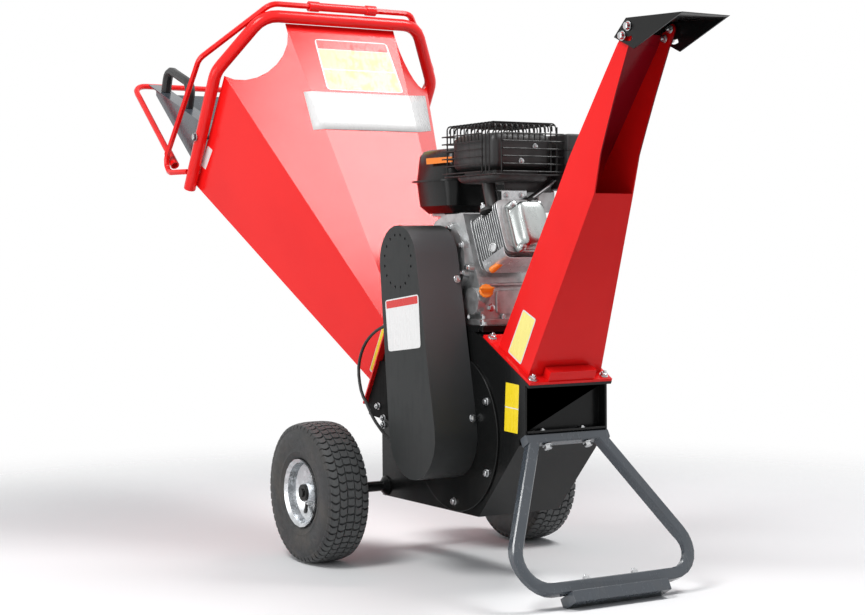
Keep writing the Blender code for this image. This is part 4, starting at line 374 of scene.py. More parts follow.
# The crown colour makes the tread lighter than the side walls: partly worn rubber, partly a painted highlight.
finish("rubber", "tyre_rubber", "moulded", (0.020, 0.021, 0.022), (0.028, 0.029, 0.030), (0.40, 0.62),
       depth=0.00035, dust=0.20, wear=(0.060, 0.057, 0.052), worn=0.6, grain=900.0, dust_reach=0.60,
       specular=0.38, crown=(0.085, 0.088, 0.088))
finish("plastic", "black_moulded_plastic", "moulded", (0.010, 0.010, 0.0105), (0.016, 0.016, 0.017),
       (0.36, 0.52), depth=0.00012, dust=0.08, wear=0.05, worn=0.5)
finish("cable", "black_cable_sheath", "moulded", 0.012, 0.020, (0.40, 0.58), depth=0.00006, dust=0.10,
       wear=0.05, worn=0.4, grain=2200.0)
finish("orange", "orange_plastic", "moulded", (0.930, 0.250, 0.012), (0.830, 0.190, 0.008), (0.28, 0.42),
       depth=0.00006, dust=0.05, wear=(0.95, 0.42, 0.12), worn=0.3)
finish("label_white", "white_blank_plate", "paint", (0.780, 0.775, 0.765), (0.720, 0.715, 0.705),
       (0.26, 0.40), wear=(0.55, 0.54, 0.52), **PLATE_LOOK)
finish("label_yellow", "yellow_blank_plate", "paint", (0.930, 0.700, 0.018), (0.860, 0.630, 0.016),
       (0.24, 0.38), wear=(0.45, 0.30, 0.05), **PLATE_LOOK)
finish("label_red", "red_blank_strip", "paint", (0.640, 0.020, 0.016), (0.560, 0.016, 0.014), (0.24, 0.38),
       wear=(0.40, 0.10, 0.08), **PLATE_LOOK)


# ------------------------------------------------------------------ floor and surroundings
def make_floor():
    """A pale square floor that fades out, far from the object, into the white round it."""
    mesh = bpy.data.meshes.new("floor")
    mesh.from_pydata([(-9, -9, 0), (9, -9, 0), (9, 9, 0), (-9, 9, 0)], [], [(0, 1, 2, 3)])
    floor = bpy.data.objects.new("floor", mesh)
    bpy.context.scene.collection.objects.link(floor)
    material = bpy.data.materials.new("pale_floor")
    material.use_nodes = True
    shader = Shader(material.node_tree)
    surface = material.node_tree.nodes["Principled BSDF"]
    surface.inputs["Roughness"].default_value = 0.7
    surface.inputs["Specular IOR Level"].default_value = 0.1
    place = shader.node("TexCoord").outputs["Object"]
    tone = shader.noise(place, 3.0, 4.0)
    shader.feed(surface.inputs["Base Color"], shader.mix(tone, (0.90, 0.90, 0.90), (0.93, 0.93, 0.93)))
    reach = shader.node("VectorMath", operation="LENGTH")
    shader.feed(reach.inputs[0], place)
    shader.feed(surface.inputs["Alpha"], shader.step(reach.outputs["Value"], 1.0, 2.6, 1.0, 0.0))
    mesh.materials.append(material)


def make_world():
    """Even grey light from all round; the camera, glossy and clear rays see white instead."""
    world = bpy.data.worlds.new("studio")
    world.use_nodes = True
    bpy.context.scene.world = world
    shader = Shader(world.node_tree)
    background = world.node_tree.nodes["Background"]
    path = shader.node("LightPath").outputs
    seen = shader.math("MAXIMUM", path["Is Camera Ray"], path["Is Transmission Ray"])
    seen = shader.math("MAXIMUM", seen, path["Is Glossy Ray"])
    shader.feed(background.inputs["Color"], shader.mix(seen, (0.34, 0.35, 0.37), (1.0, 1.0, 1.0)))
    background.inputs["Strength"].default_value = 1.0


make_floor()
make_world()


# ------------------------------------------------------------------ meshes
def add_piece(name, points, faces, finish_name, body, smooth=35.0, nodes=()):
    """An object at the origin from points and faces, with sharp edges past an angle."""
    mesh = bpy.data.meshes.new(name)
    mesh.from_pydata(np.asarray(points, float).tolist(), [], [tuple(face) for face in faces])
    return add_mesh(name, mesh, finish_name, body, smooth, nodes)


def add_mesh(name, mesh, finish_name, body, smooth=35.0, nodes=()):
    bm = bmesh.new()
    bm.from_mesh(mesh)
    for face in bm.faces:
        face.smooth = True
    limit = math.radians(smooth)
    for edge in bm.edges:
        edge.smooth = edge.calc_face_angle(0.0) < limit
    bm.to_mesh(mesh)
    bm.free()
    mesh.materials.append(FINISH[finish_name])
    piece = bpy.data.objects.new(name, mesh)
    bpy.context.scene.collection.objects.link(piece)
    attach(piece, body)
    if nodes:
        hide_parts(*nodes)
    return piece


def grid_faces(rows, columns, close_rows=False, close_columns=False):
    """Quads of a grid of rows x columns points, as an array of indices."""
    row = np.arange(rows if close_rows else rows - 1)
    column = np.arange(columns if close_columns else columns - 1)
    first, second = np.meshgrid(row, column, indexing="ij")
    after_row, after_column = (first + 1) % rows, (second + 1) % columns
    corners = (first * columns + second, after_row * columns + second,
               after_row * columns + after_column, first * columns + after_column)
    return np.stack([corner.ravel() for corner in corners], axis=1)


def ring_faces(rows, count):
    """Quads between rings of the same count, and a cap over the first ring and the last."""
    faces = [tuple(face) for face in grid_faces(rows, count, close_columns=True)]
    return faces + [tuple(range(count)), tuple(range((rows - 1) * count, rows * count))[::-1]]


def add_parts(name, parts, finish_name, body, smooth=35.0, nodes=()):
    """Several (points, faces) pairs as one object."""
    points, faces, start = [], [], 0
    for some_points, some_faces in parts:
        points.append(np.asarray(some_points, float))
        faces += [tuple(int(index) + start for index in face) for face in some_faces]
        start += len(some_points)
    return add_piece(name, np.concatenate(points), faces, finish_name, body, smooth, nodes)


def around(steps):
    """The angles of a full turn in equal steps."""
    return np.linspace(0.0, TURN, steps, endpoint=False)


def rounded(power, steps=64):
    """Across and above of a superellipse: cosine and sine, each with its size raised to the
    power and its sign kept, so that a power under one squares the circle off."""
    wave = np.stack([np.cos(around(steps)), np.sin(around(steps))])
    return np.sign(wave) * np.abs(wave) ** power


def unit(vector):
    vector = np.asarray(vector, float)
    return vector / np.linalg.norm(vector)


def facing(axis):
    """Three unit columns: two across the axis, and the axis itself."""
    axis = unit(axis)
    across = unit(np.cross((0.0, 0.0, 1.0) if abs(axis[2]) < 0.9 else (1.0, 0.0, 0.0), axis))
    return np.stack([across, np.cross(axis, across), axis], axis=1)


def revolved(profile, centre, axis, steps):
    """Points (radius, height) of a profile turned about an axis through the centre; a
    radius of nothing at either end closes it with a pole."""
    profile = np.asarray(profile, float)
    angle = around(steps)
    radius, height = profile[:, 0][:, None], profile[:, 1][:, None]
    local = np.stack([radius * np.cos(angle), radius * np.sin(angle), height + 0.0 * angle], axis=-1)
    points = local.reshape(-1, 3) @ facing(axis).T + np.asarray(centre, float)
    return sealed(points, grid_faces(len(profile), steps, close_columns=True)[:, ::-1])


def sealed(points, faces):
    """Merges points that fall on each other, drops the faces that vanish and caps holes."""
    bm = bmesh.new()
    corners = [bm.verts.new(point) for point in np.asarray(points, float)]
    for face in faces:
        try:
            bm.faces.new([corners[int(index)] for index in face])
        except ValueError:
            pass
    bmesh.ops.remove_doubles(bm, verts=bm.verts, dist=1e-7)
    bmesh.ops.dissolve_degenerate(bm, dist=1e-8, edges=bm.edges)
    edges = [edge for edge in bm.edges if len(edge.link_faces) == 1]
    if edges:
        bmesh.ops.holes_fill(bm, edges=edges, sides=0)
    bmesh.ops.recalc_face_normals(bm, faces=bm.faces)
    bm.verts.index_update()
    found = np.array([vert.co[:] for vert in bm.verts])
    shapes = [tuple(vert.index for vert in face.verts) for face in bm.faces]
    bm.free()
    return found, shapes


def tube(path, radius, sides):
    """A round section carried along an open path without twist: each frame is the last one
    turned by the least angle onto the new direction."""
    path = np.asarray(path, float)
    count = len(path)
    radius = np.broadcast_to(np.asarray(radius, float), (count,))
    ahead = np.roll(path, -1, 0) - path
    behind = path - np.roll(path, 1, 0)
    ahead[-1] = behind[-1]
    behind[0] = ahead[0]
    along = ahead / np.linalg.norm(ahead, axis=1)[:, None] + behind / np.linalg.norm(behind, axis=1)[:, None]
    along = along / np.linalg.norm(along, axis=1)[:, None]
    frames = [facing(along[0])[:, 0]]
    for direction in along:
        frames.append(unit(frames[-1] - direction * float(frames[-1] @ direction)))
    across = np.array(frames[1:])
    other = np.cross(along, across)
    angle = around(sides)
    ring = across[:, None] * np.cos(angle)[:, None] + other[:, None] * np.sin(angle)[:, None]
    points = (path[:, None] + ring * radius[:, None, None]).reshape(-1, 3)
    return points, [face[::-1] for face in ring_faces(count, sides)]


def bent(start, corner, end, count):
    """Points of the quadratic curve from start to end that the corner pulls towards itself."""
    start, corner, end = np.asarray([start, corner, end], float)
    share = np.linspace(0.0, 1.0, count)[:, None]
    return (1 - share) ** 2 * start + 2 * share * (1 - share) * corner + share ** 2 * end


CONE_SLOPE = 0.577         # about the tangent of 30 degrees


def fastener(centre, axis, size, stub=0.0):
    """A hexagon head on a washer, of a size (width over flats, height, washer's radius): six
    flats as radius over angle, its top corners cut by a 30 degree cone, and where a stub is
    given, the end of the screw through it."""
    across, height, washer = size
    steps, thick, bore, ease, sixth = 24, 0.0014, 0.29 * across, 0.0006, math.pi / 3.0
    angle = around(steps)
    flat = 0.5 * across / np.cos((angle + 0.5 * sixth) % sixth - 0.5 * sixth)
    crown, top = 0.47 * across, thick + height
    rings = [(washer, 0.0), (washer, 0.75 * thick), (washer - 0.25 * thick, thick), (flat, thick),
             (flat, top - (flat - crown) * CONE_SLOPE), (crown, top)]
    if stub:
        rings += [(bore, top), (bore, top + stub - ease), (bore - ease, top + stub)]
    local = [np.stack([radius * np.cos(angle), radius * np.sin(angle), level + 0.0 * angle], axis=-1)
             for radius, level in rings]
    points = np.reshape(local, (-1, 3)) @ facing(axis).T + np.asarray(centre, float)
    return points, [face[::-1] for face in ring_faces(len(rings), steps)]


def eased(node, finish_name, bevel):
    """A CAD node's own form with its flat faces whole again and its corners eased inwards."""
    source = frame["nodes"][node].data
    points = np.empty(len(source.vertices) * 3)
    source.vertices.foreach_get("co", points)
    bm = bmesh.new()
    corners = [bm.verts.new(point) for point in points.reshape(-1, 3)]
    for face in source.polygons:
        bm.faces.new([corners[index] for index in face.vertices])
    bmesh.ops.remove_doubles(bm, verts=bm.verts, dist=3e-6)
    bmesh.ops.dissolve_limit(bm, angle_limit=math.radians(0.3), verts=bm.verts, edges=bm.edges)
    mesh = bpy.data.meshes.new("eased_" + node)
    bm.to_mesh(mesh)
    bm.free()
    piece = add_mesh("eased_" + node, mesh, finish_name, BODY_OF[node], nodes=(node,))
    if bevel:
        modifier = piece.modifiers.new("eased corners", "BEVEL")
        modifier.width = bevel
        modifier.segments = 2
        modifier.limit_method = "ANGLE"
        modifier.angle_limit = math.radians(35.0)
        modifier.harden_normals = True


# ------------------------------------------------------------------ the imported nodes
NODE_FINISH = {
    "housing": ("black", 0.0010), "rotor_cover": ("black", 0.0008), "bearing_near": ("black", 0.0010),
    "bearing_far": ("black", 0.0010), "infeed_floor": ("black", 0.0006), "counter_blade": ("steel", 0.0004),
    "rotor_wrap": ("black", 0.0006), "drive_belt": ("rubber", 0.0), "belt_guard": ("guard", 0.0030),
    "belt_guard_back": ("black", 0.0005), "engine_platform": ("black", 0.0010), "axle": ("black", 0.0006),
    "stand": ("slate", 0.0), "stand_pad": ("slate", 0.0015), "chute": ("red_chute", 0.0010),
    "hinge_bracket_near": ("dull_black", 0.0004), "hinge_bracket_far": ("dull_black", 0.0004),
    "crankcase": ("alloy", 0.0020), "muffler": ("muffler", 0.0030),
    "fuel_tank": ("black", 0.0), "tank_bracket": ("alloy", 0.0010), "air_cleaner": ("plastic", 0.0015),
    "carburettor": ("alloy", 0.0008), "blower_housing": ("black", 0.0020), "recoil_cover": ("black", 0.0015),
    "safety_switch": ("plastic", 0.0008), "switch_cable": ("cable", 0.0),
    "wheel_rim_near": ("rim", 0.0), "wheel_rim_far": ("rim", 0.0),
    "rotor_drum": ("steel", 0.0), "rotor_knife_1": ("steel", 0.0003), "rotor_knife_2": ("steel", 0.0003),
    "driven_pulley": ("steel", 0.0), "crankshaft": ("steel", 0.0), "drive_pulley": ("steel", 0.0),
    "deflector": ("black", 0.0004), "hopper_funnel": ("red", 0.0010), "hopper_flange": ("red", 0.0006),
    "hopper_rim": ("red", 0.0), "hand_hoop": ("red", 0.0), "hoop_grip": ("red", 0.0),
    "ferrule_near": ("red", 0.0006), "ferrule_far": ("red", 0.0006), "outer_bar": ("red", 0.0),
    "feed_tray": ("slate", 0.0008), "tray_handle": ("plastic", 0.0020),
    "throttle_lever": ("zinc", 0.0005), "choke_lever": ("zinc", 0.0005), "fuel_tap": ("plastic", 0.0005),
    "fuel_cap": ("plastic", 0.0010), "recoil_handle": ("plastic", 0.0010),
    "engine_switch": ("plastic", 0.0005),
}
for node_name, (finish_name, width) in NODE_FINISH.items():
    eased(node_name, finish_name, width)


# ------------------------------------------------------------------ tyres
PITCHES = 54               # tread blocks round the tyre
CREST = 0.1648             # radius over the tread
GROOVE = 0.0046
TYRE_Y = 0.291
RIB_EDGES = np.array([-0.0475, -0.0285, -0.0095, 0.0095, 0.0285, 0.0475])
RIB_HALF = 0.0095
SHOULDER = 0.046           # past this, the tread has no groove between ribs
SLIT = 0.0013              # half the width of such a groove
# (radius, distance from the middle): down the side wall to the bead, and up the inner skin
WALL = np.array([(0.1560, 0.0486), (0.1525, 0.0499), (0.1490, 0.0507), (0.1475, 0.0503), (0.1450, 0.0512),
                 (0.1380, 0.0523), (0.1300, 0.0528), (0.1220, 0.0527), (0.1130, 0.0520), (0.1050, 0.0509),
                 (0.0990, 0.0503), (0.0970, 0.0509), (0.0950, 0.0500), (0.0890, 0.0482), (0.0845, 0.0463),
                 (0.0812, 0.0440)])
INNER_SKIN = np.array([(0.0812, 0.0395), (0.0950, 0.0415), (0.1260, 0.0460), (0.1480, 0.0420),
                       (0.1540, 0.0340)])


def tyre(name, side, node, body):
    """Rings of a tyre section carried round the axle. Over the tread the radius drops by the
    groove depth between ribs and between blocks; the rows of blocks follow an arc across
    each rib, because every ring is turned by a shift that depends on its place across."""
    lines = [RIB_EDGES[0]]
    for low, high in zip(RIB_EDGES[:-1], RIB_EDGES[1:]):
        lines += list(np.linspace(low + SLIT + 0.0002, high - SLIT - 0.0002, 7))
        lines += [high - SLIT + 0.0004, high + SLIT - 0.0004]
    across = np.array(lines[:-2] + [RIB_EDGES[-1]])
    rib = np.clip(np.searchsorted(RIB_EDGES, across) - 1, 0, 4)
    middle = 0.5 * (RIB_EDGES[rib] + RIB_EDGES[rib + 1])
    inside = np.clip(np.abs(across - middle) / RIB_HALF, 0.0, 1.0)
    in_slit = (inside > 0.90) & (np.abs(across) < SHOULDER)
    crown = CREST - 0.0052 * np.abs(across / SHOULDER) ** 3.2
    section_r = np.concatenate([INNER_SKIN[::-1, 0], WALL[::-1, 0], crown, WALL[:, 0], INNER_SKIN[:, 0]])
    section_y = np.concatenate([-INNER_SKIN[::-1, 1], -WALL[::-1, 1], across, WALL[:, 1], INNER_SKIN[:, 1]])
    start = len(INNER_SKIN) + len(WALL)
    end = start + len(across)
    slit, gap_share, shift = np.zeros((3, len(section_r)))
    slit[start:end] = in_slit
    gap_share[start:end] = 1.0 - in_slit
    gap_share[start - 3:start] = (0.15, 0.5, 0.9)
    gap_share[end:end + 3] = (0.9, 0.5, 0.15)
    arc = 0.0055 * (1.0 - inside ** 2) * np.where(rib == 2, 0.35, 1.0)
    shift[start:end] = arc - 0.003 + np.where((rib == 0) | (rib == 4), 0.0075, 0.0)
    shift[:start], shift[end:] = shift[start], shift[start]
    phase = np.array([0.0, 0.045, 0.215, 0.26, 0.44, 0.63, 0.82])
    in_gap = np.tile([0.0, 1.0, 1.0, 0.0, 0.0, 0.0, 0.0], PITCHES)
    turn = ((np.arange(PITCHES)[:, None] + phase) / PITCHES * TURN).ravel()
    radius = section_r - GROOVE * np.maximum(in_gap[:, None] * gap_share, slit)
    angle = turn[:, None] + shift / CREST * side
    points = np.stack([AXLE_X + radius * np.cos(angle), side * TYRE_Y + section_y + 0.0 * angle,
                       WHEEL_Z + radius * np.sin(angle)], axis=-1)
    faces = grid_faces(*angle.shape, close_rows=True, close_columns=True)
    piece = add_piece(name, points.reshape(-1, 3), faces[:, ::-1], "rubber", body, 28.0, (node,))


tyre("tread_tyre_near", -1.0, "tyre_near", "wheel_near")
tyre("tread_tyre_far", 1.0, "tyre_far", "wheel_far")

# ------------------------------------------------------------------ the engine's slanting axis
CRANK = (0.262 - MIDDLE_X, 0.705)
CYLINDER_LEAN = math.radians(22.0)
CYLINDER_AXIS = (math.cos(CYLINDER_LEAN), 0.0, math.sin(CYLINDER_LEAN))
CYLINDER_UP = (-math.sin(CYLINDER_LEAN), 0.0, math.cos(CYLINDER_LEAN))


def on_cylinder(out, up, y):
    """A point out along the cylinder's axis and up square to it."""
    x = CRANK[0] + out * math.cos(CYLINDER_LEAN) - up * math.sin(CYLINDER_LEAN)
    return np.array([x, y, CRANK[1] + out * math.sin(CYLINDER_LEAN) + up * math.cos(CYLINDER_LEAN)])


def stand_place(y, down):
    """A point down the leaning stand, in its middle plane."""
    lean = math.radians(30.0)
    return (0.592 - MIDDLE_X + down * math.sin(lean), y, 0.322 - down * math.cos(lean))


def bolt_circle(count, first, radius, centre, y):
    """Places on a circle round (x, z), the first at an angle in degrees."""
    turns = [math.radians(first + 360.0 / count * step) for step in range(count)]
    return [(centre[0] + radius * math.cos(turn), y, centre[1] + radius * math.sin(turn)) for turn in turns]


# ------------------------------------------------------------------ screws, bolts and nuts
def fasteners(name, body, rows):
    """Zinc plated heads from rows of (place, axis, size) or (place, axis, size, stub)."""
    add_parts(name, [fastener(*row) for row in rows], "zinc", body)


ROTOR = (0.3132, 0.321)
FLANGE_UP = (0.469, 0.0, 0.883)
DOWN_STAND = (0.5, 0.0, -0.866)
UP_STAND = (-0.5, 0.0, 0.866)
FLANGE_HEAD = (0.0130, 0.0060, 0.0100)
STAND_NUT = (0.0130, 0.0060, 0.0090)
frame_rows = [(spot, (0, -1, 0), (0.0130, 0.0055, 0.0088))
              for spot in bolt_circle(6, 30.0, 0.1560, ROTOR, -0.1124)]
for x, z in ((0.5973, 0.4556), (0.4435, 0.5373)):
    frame_rows += [((x, y, z), FLANGE_UP, FLANGE_HEAD, 0.0045) for y in (-0.0930, 0.0930)]
for y in (-0.0527, 0.0527):
    frame_rows += [(stand_place(y, 0.0102), DOWN_STAND, (0.0155, 0.0080, 0.0110)),
                   (stand_place(y, -0.0170), UP_STAND, STAND_NUT, 0.0040),
                   (stand_place(1.176 * y, 0.3131), UP_STAND, STAND_NUT, 0.0050)]
frame_rows += [(spot, (0.981, 0.0, 0.195), (0.0110, 0.0045, 0.0085))
               for spot in ((0.3468, -0.1218, 0.6645), (0.4076, -0.1218, 0.3600))]
for side in (-1, 1):
    for x, z in ((0.8867, 1.1637), (0.8686, 1.1466)):
        frame_rows += [((x, side * 0.0605, z), (0, side, 0), FLANGE_HEAD),
                       ((x, side * 0.045375, z), (0, -side, 0), (0.0120, 0.0055, 0.0085), 0.0030)]
for x, depth, z in ((-0.0025, 0.1132, 0.3279), (-0.0134, 0.1072, 0.3098), (-0.0284, 0.1132, 0.3549)):
    frame_rows += [((x, side * depth, z), (0, side, 0), (0.0120, 0.0060, 0.0085), 0.0030) for side in (-1, 1)]
frame_rows += [((x, y, 0.5631), (0, 0, 1), (0.0120, 0.0060, 0.0095), 0.0040)
               for x, y in ((0.112, -0.094), (0.410, -0.094), (0.112, 0.122), (0.410, 0.122))]
fasteners("frame_bolts", "chassis", frame_rows)

BLOCK_TOP = 0.5754
COVER_BOLTS = (8, 25.0, 0.079, CRANK)
ROCKER_BOLTS = ((0.0420, -0.0400), (0.0420, 0.0280), (-0.0570, -0.0380), (-0.0570, 0.0260))
engine_rows = [(on_cylinder(0.2235, up, y), CYLINDER_AXIS, (0.0100, 0.0050, 0.0072)) for up, y in ROCKER_BOLTS]
engine_rows += [(on_cylinder(0.159, 0.0590, y), CYLINDER_UP, (0.0110, 0.0070, 0.0080), 0.0060)
                for y in (-0.0730, -0.0210)]
engine_rows += [((0.4352, y, z), (1, 0, 0), (0.0085, 0.0045, 0.0065), 0.0030)
                for y, z in ((0.0290, 0.9560), (-0.0080, 0.9230))]
engine_rows += [((0.3874, -0.0591, 0.6003), (1, 0, 0), (0.0125, 0.0060, 0.0092)),
                ((0.3560, -0.0990, 0.6890), (0, -1, 0), (0.0100, 0.0050, 0.0070))]
engine_rows += [(spot, (0, -1, 0), (0.0100, 0.0055, 0.0070)) for spot in bolt_circle(*COVER_BOLTS, -0.1002)]
engine_rows += [((x, y, BLOCK_TOP), (0, 0, 1), (0.0085, 0.0065, 0.0048), 0.0035) for x, y in (
    (0.345, -0.0912), (0.300, -0.0912), (0.3932, -0.0840), (0.3932, -0.0300), (0.3932, 0.0500))]
fasteners("engine_bolts", "chassis", engine_rows)

PIVOT = (-0.584234 - MIDDLE_X, 1.030017)
fasteners("tray_pivot_bolts", "tray", [
    ((PIVOT[0], side * 0.3382, PIVOT[1]), (0, side, 0), (0.0150, 0.0070, 0.0110)) for side in (-1, 1)])


# ------------------------------------------------------------------ blank plates
def spread(corners, u, v):
    """The point at a share across and a share up of a four-cornered field."""
    a, b, c, d = np.asarray(corners, float)
    return (1 - u) * (1 - v) * a + u * (1 - v) * b + u * v * c + (1 - u) * v * d


def plate(name, corners, finish_name, body, lift, corner=0.10, thick=0.0005):
    """A thin plate over four corners: its outline is a superellipse in the two shares across
    and up, which rounds the corners, placed by blending the four corner points."""
    corners = np.asarray(corners, float)
    ring = spread(corners, *(0.5 + 0.5 * rounded(corner))[:, :, None])
    normal = unit(np.cross(corners[1] - corners[0], corners[3] - corners[0]))
    points = np.concatenate([ring + normal * lift, ring + normal * (lift + thick)])
    add_piece(name, points, [face[::-1] for face in ring_faces(2, 64)], finish_name, body, 60.0)


def blank_label(name, corners, body, fields, lift=0.0004):
    """A white plate with plain coloured fields laid on it, which carry nothing. A field is
    (finish, left, low, right, high), in shares of the plate."""
    plate(name, corners, "label_white", body, lift, thick=0.0003)
    for index, (finish_name, left, low, right, high) in enumerate(fields):
        field = [spread(corners, u, v) for u, v in ((left, low), (right, low), (right, high), (left, high))]
        plate("%s_field_%d" % (name, index), field, finish_name, body, lift + 0.0003, corner=0.06, thick=0.0001)


blank_label("blank_plate_guard", [(0.2147, -0.222, 0.5011), (0.3559, -0.222, 0.5160),
                                  (0.3480, -0.222, 0.6330), (0.2010, -0.222, 0.6165)],
            "chassis", [("label_red", 0.03, 0.83, 0.97, 0.975)])
blank_label("blank_plate_chute", [(0.5074, -0.0939, 0.5087), (0.5559, -0.0938, 0.4835),
                                  (0.5958, -0.0812, 0.5810), (0.5489, -0.0817, 0.6014)],
            "chassis", [("label_pale", 0.05, 0.03, 0.95, 0.97)], lift=0.0006)
blank_label("blank_plate_housing", [(0.5107, -0.107, 0.3400), (0.5620, -0.107, 0.3380),
                                    (0.5688, -0.107, 0.4419), (0.5182, -0.107, 0.4450)],
            "chassis", [("label_yellow", 0.0, 0.0, 1.0, 0.49), ("label_yellow", 0.0, 0.51, 1.0, 1.0)])
blank_label("blank_plate_hopper", [(-0.3120, -0.0947, 1.1388), (-0.3120, 0.1301, 1.1388),
                                   (-0.3936, 0.1251, 1.2771), (-0.3936, -0.0893, 1.2771)],
            "hopper", [("label_red", 0.02, 0.81, 0.98, 0.98), ("label_pale", 0.02, 0.42, 0.98, 0.80),
                       ("label_pale", 0.02, 0.02, 0.98, 0.40)])
blank_label("blank_plate_throat", [(-0.0687, -0.1142, 0.4395), (-0.0493, -0.1082, 0.4259),
                                   (0.0205, -0.1086, 0.5428), (0.0021, -0.1143, 0.5560)],
            "hopper", [("label_yellow", 0.05, 0.03, 0.95, 0.97)], lift=0.0006)
plate("blank_plate_tank", [(0.1341, -0.069, 0.9289), (0.249, -0.069, 0.9291), (0.247, -0.069, 0.9417),
                           (0.1321, -0.069, 0.943)], "orange", "chassis", 0.0008, corner=0.08)
plate("blank_plate_rim", [(-0.6324, -0.3043, 0.9599), (-0.6143, -0.2987, 0.9471), (-0.5737, -0.2963, 0.9962),
                          (-0.5908, -0.3017, 1.0082)], "label_white", "hopper", 0.0006)


def hopper_band():
    """A white band round the funnel's top: straight between its near end, the two folds and
    its far end, so each point is a blend of two neighbouring columns and of low and high."""
    low = np.array([(-0.2714, -0.1570, 1.0325), (-0.2502, -0.1339, 1.0340), (-0.2502, 0.1339, 1.0340),
                    (-0.3579, 0.2402, 1.0476)])
    high = np.array([(-0.3215, -0.1576, 1.1314), (-0.3086, -0.1431, 1.1330), (-0.3086, 0.1431, 1.1330),
                     (-0.4359, 0.2693, 1.1481)])
    share = np.linspace(0.0, 1.0, 5)[:, None, None]
    points = ((1.0 - share) * low + share * high).reshape(-1, 3) + np.array([0.0007, 0.0, 0.0005])
    piece = add_piece("blank_band_hopper", points, grid_faces(5, 4), "label_white", "hopper", 20.0)
    wall = piece.modifiers.new("paper", "SOLIDIFY")
    wall.thickness, wall.offset = 0.0004, 0.0


hopper_band()


# ------------------------------------------------------------------ wire cage of the muffler
def make_cage():
    """Round wires over the top and three sides of the muffler. The close wires of the top
    follow a path that bends over its edges on quarter circles and ends a little way down;
    level wires run round the sides and stand past the corners, and a few uprights tie them."""
    x0, x1, y0, y1, z0, z1 = (0.2527, 0.4502, -0.096, 0.088, 0.897, 1.0076)
    wire, bend, skirt = 0.0017, 0.010, 0.040
    thick, hem = 2 * wire, z1 - 0.4 * skirt
    turn = np.linspace(0.0, 0.5 * math.pi, 5)
    curve = list(zip(bend - bend * np.cos(turn), bend * np.sin(turn)))
    parts = []
    for z in np.linspace(z0 + 0.003, z1 - 0.024, 6):
        parts += [tube(path, wire, 6) for path in ([(x0 - 0.006, y0, z), (x1 - 0.036, y0, z)],
                                                   [(x1, y0 + 0.030, z), (x1, y1 + 0.008, z)],
                                                   [(x0, y0 + 0.006, z), (x0, y1 - 0.004, z)])]
    for x in np.linspace(x0 + 0.010, x1 - 0.014, 13):
        down = skirt if x0 + 0.018 < x < x1 - 0.050 else z1 - z0
        near = [(x, y0 + thick + run, z1 - bend + rise) for run, rise in curve]
        far = [(x, y1 - thick - run, z1 - bend + rise) for run, rise in curve][::-1]
        parts.append(tube([(x, y0 + thick, z1 - down)] + near + far + [(x, y1 - thick, hem)], wire, 6))
    for y in np.linspace(y0 + 0.014, y1 - 0.010, 12):
        down = skirt if y0 + 0.032 < y < y1 - 0.028 or y < y0 + 0.018 else z1 - z0
        front = [(x1 - thick - run, y, z1 - thick - bend + rise) for run, rise in curve]
        back = [(x0 + thick + run, y, z1 - thick - bend + rise) for run, rise in curve][::-1]
        parts.append(tube([(x1 - thick, y, z1 - down)] + front + back + [(x0 + thick, y, hem)], wire, 6))
    for x, y in ((x0 + 0.006, y0 + 0.006), (x0 + 0.006, y1 - 0.006), (x1 - 0.006, y1 - 0.006)):
        parts.append(tube([(x, y, z0 - 0.001), (x, y, z1 - 0.008)], 0.0019, 6))
    add_parts("cage_wires", parts, "wire", "chassis", 40.0, ("muffler_cage",))


make_cage()


# ------------------------------------------------------------------ engine details
CYLINDER_Y = -0.006
PORT = (0.139, 0.180)      # the exhaust port's reach along the cylinder's axis


def lofted(rings):
    """Rings of the same count joined into a closed form with flat ends."""
    return sealed(np.array(rings).reshape(-1, 3), ring_faces(len(rings), len(rings[0])))


def ribbon(profile, start, end, thick):
    """A bent sheet: a profile of (y, up) points, carried from start to end along the
    cylinder's axis and given its thickness along its own normals."""
    profile = np.asarray(profile, float)
    step = np.gradient(profile, axis=0)
    step = step / np.linalg.norm(step, axis=1)[:, None]
    normal = np.stack([-step[:, 1], step[:, 0]], axis=1)
    loop = np.concatenate([profile, (profile + normal * thick)[::-1]])
    return lofted([[on_cylinder(out, up, y) for y, up in loop] for out in np.linspace(start, end, 8)])


def squircle(out, up, half_up, half_y, power):
    """A rounded square, square to the cylinder's axis."""
    return [on_cylinder(out, up + half_up * b, CYLINDER_Y + half_y * a) for a, b in rounded(power).T]


def pad(rows, middle, half, power, axis):
    """Rounded squares along X (axis 0) or Z (axis 2), from rows of (place, shrink)."""
    across, above = rounded(power)
    rings = []
    for place, shrink in rows:
        ring = [middle[0] + (half[0] - shrink) * across, middle[1] + (half[1] - shrink) * above]
        ring.insert(axis, np.full(64, place))
        rings.append(np.stack(ring, axis=1))
    return lofted(rings)


def box_form(low, high, ease):
    """A box between two corners, its rings drawn in at both ends to ease the edges."""
    (x0, y0, z0), (x1, y1, z1) = low, high
    return lofted([[(x0 + s, y0 + s, z), (x1 - s, y0 + s, z), (x1 - s, y1 - s, z), (x0 + s, y1 - s, z)]
                   for z, s in ((z0, ease), (z0 + ease, 0.0), (z1 - ease, 0.0), (z1, ease))])


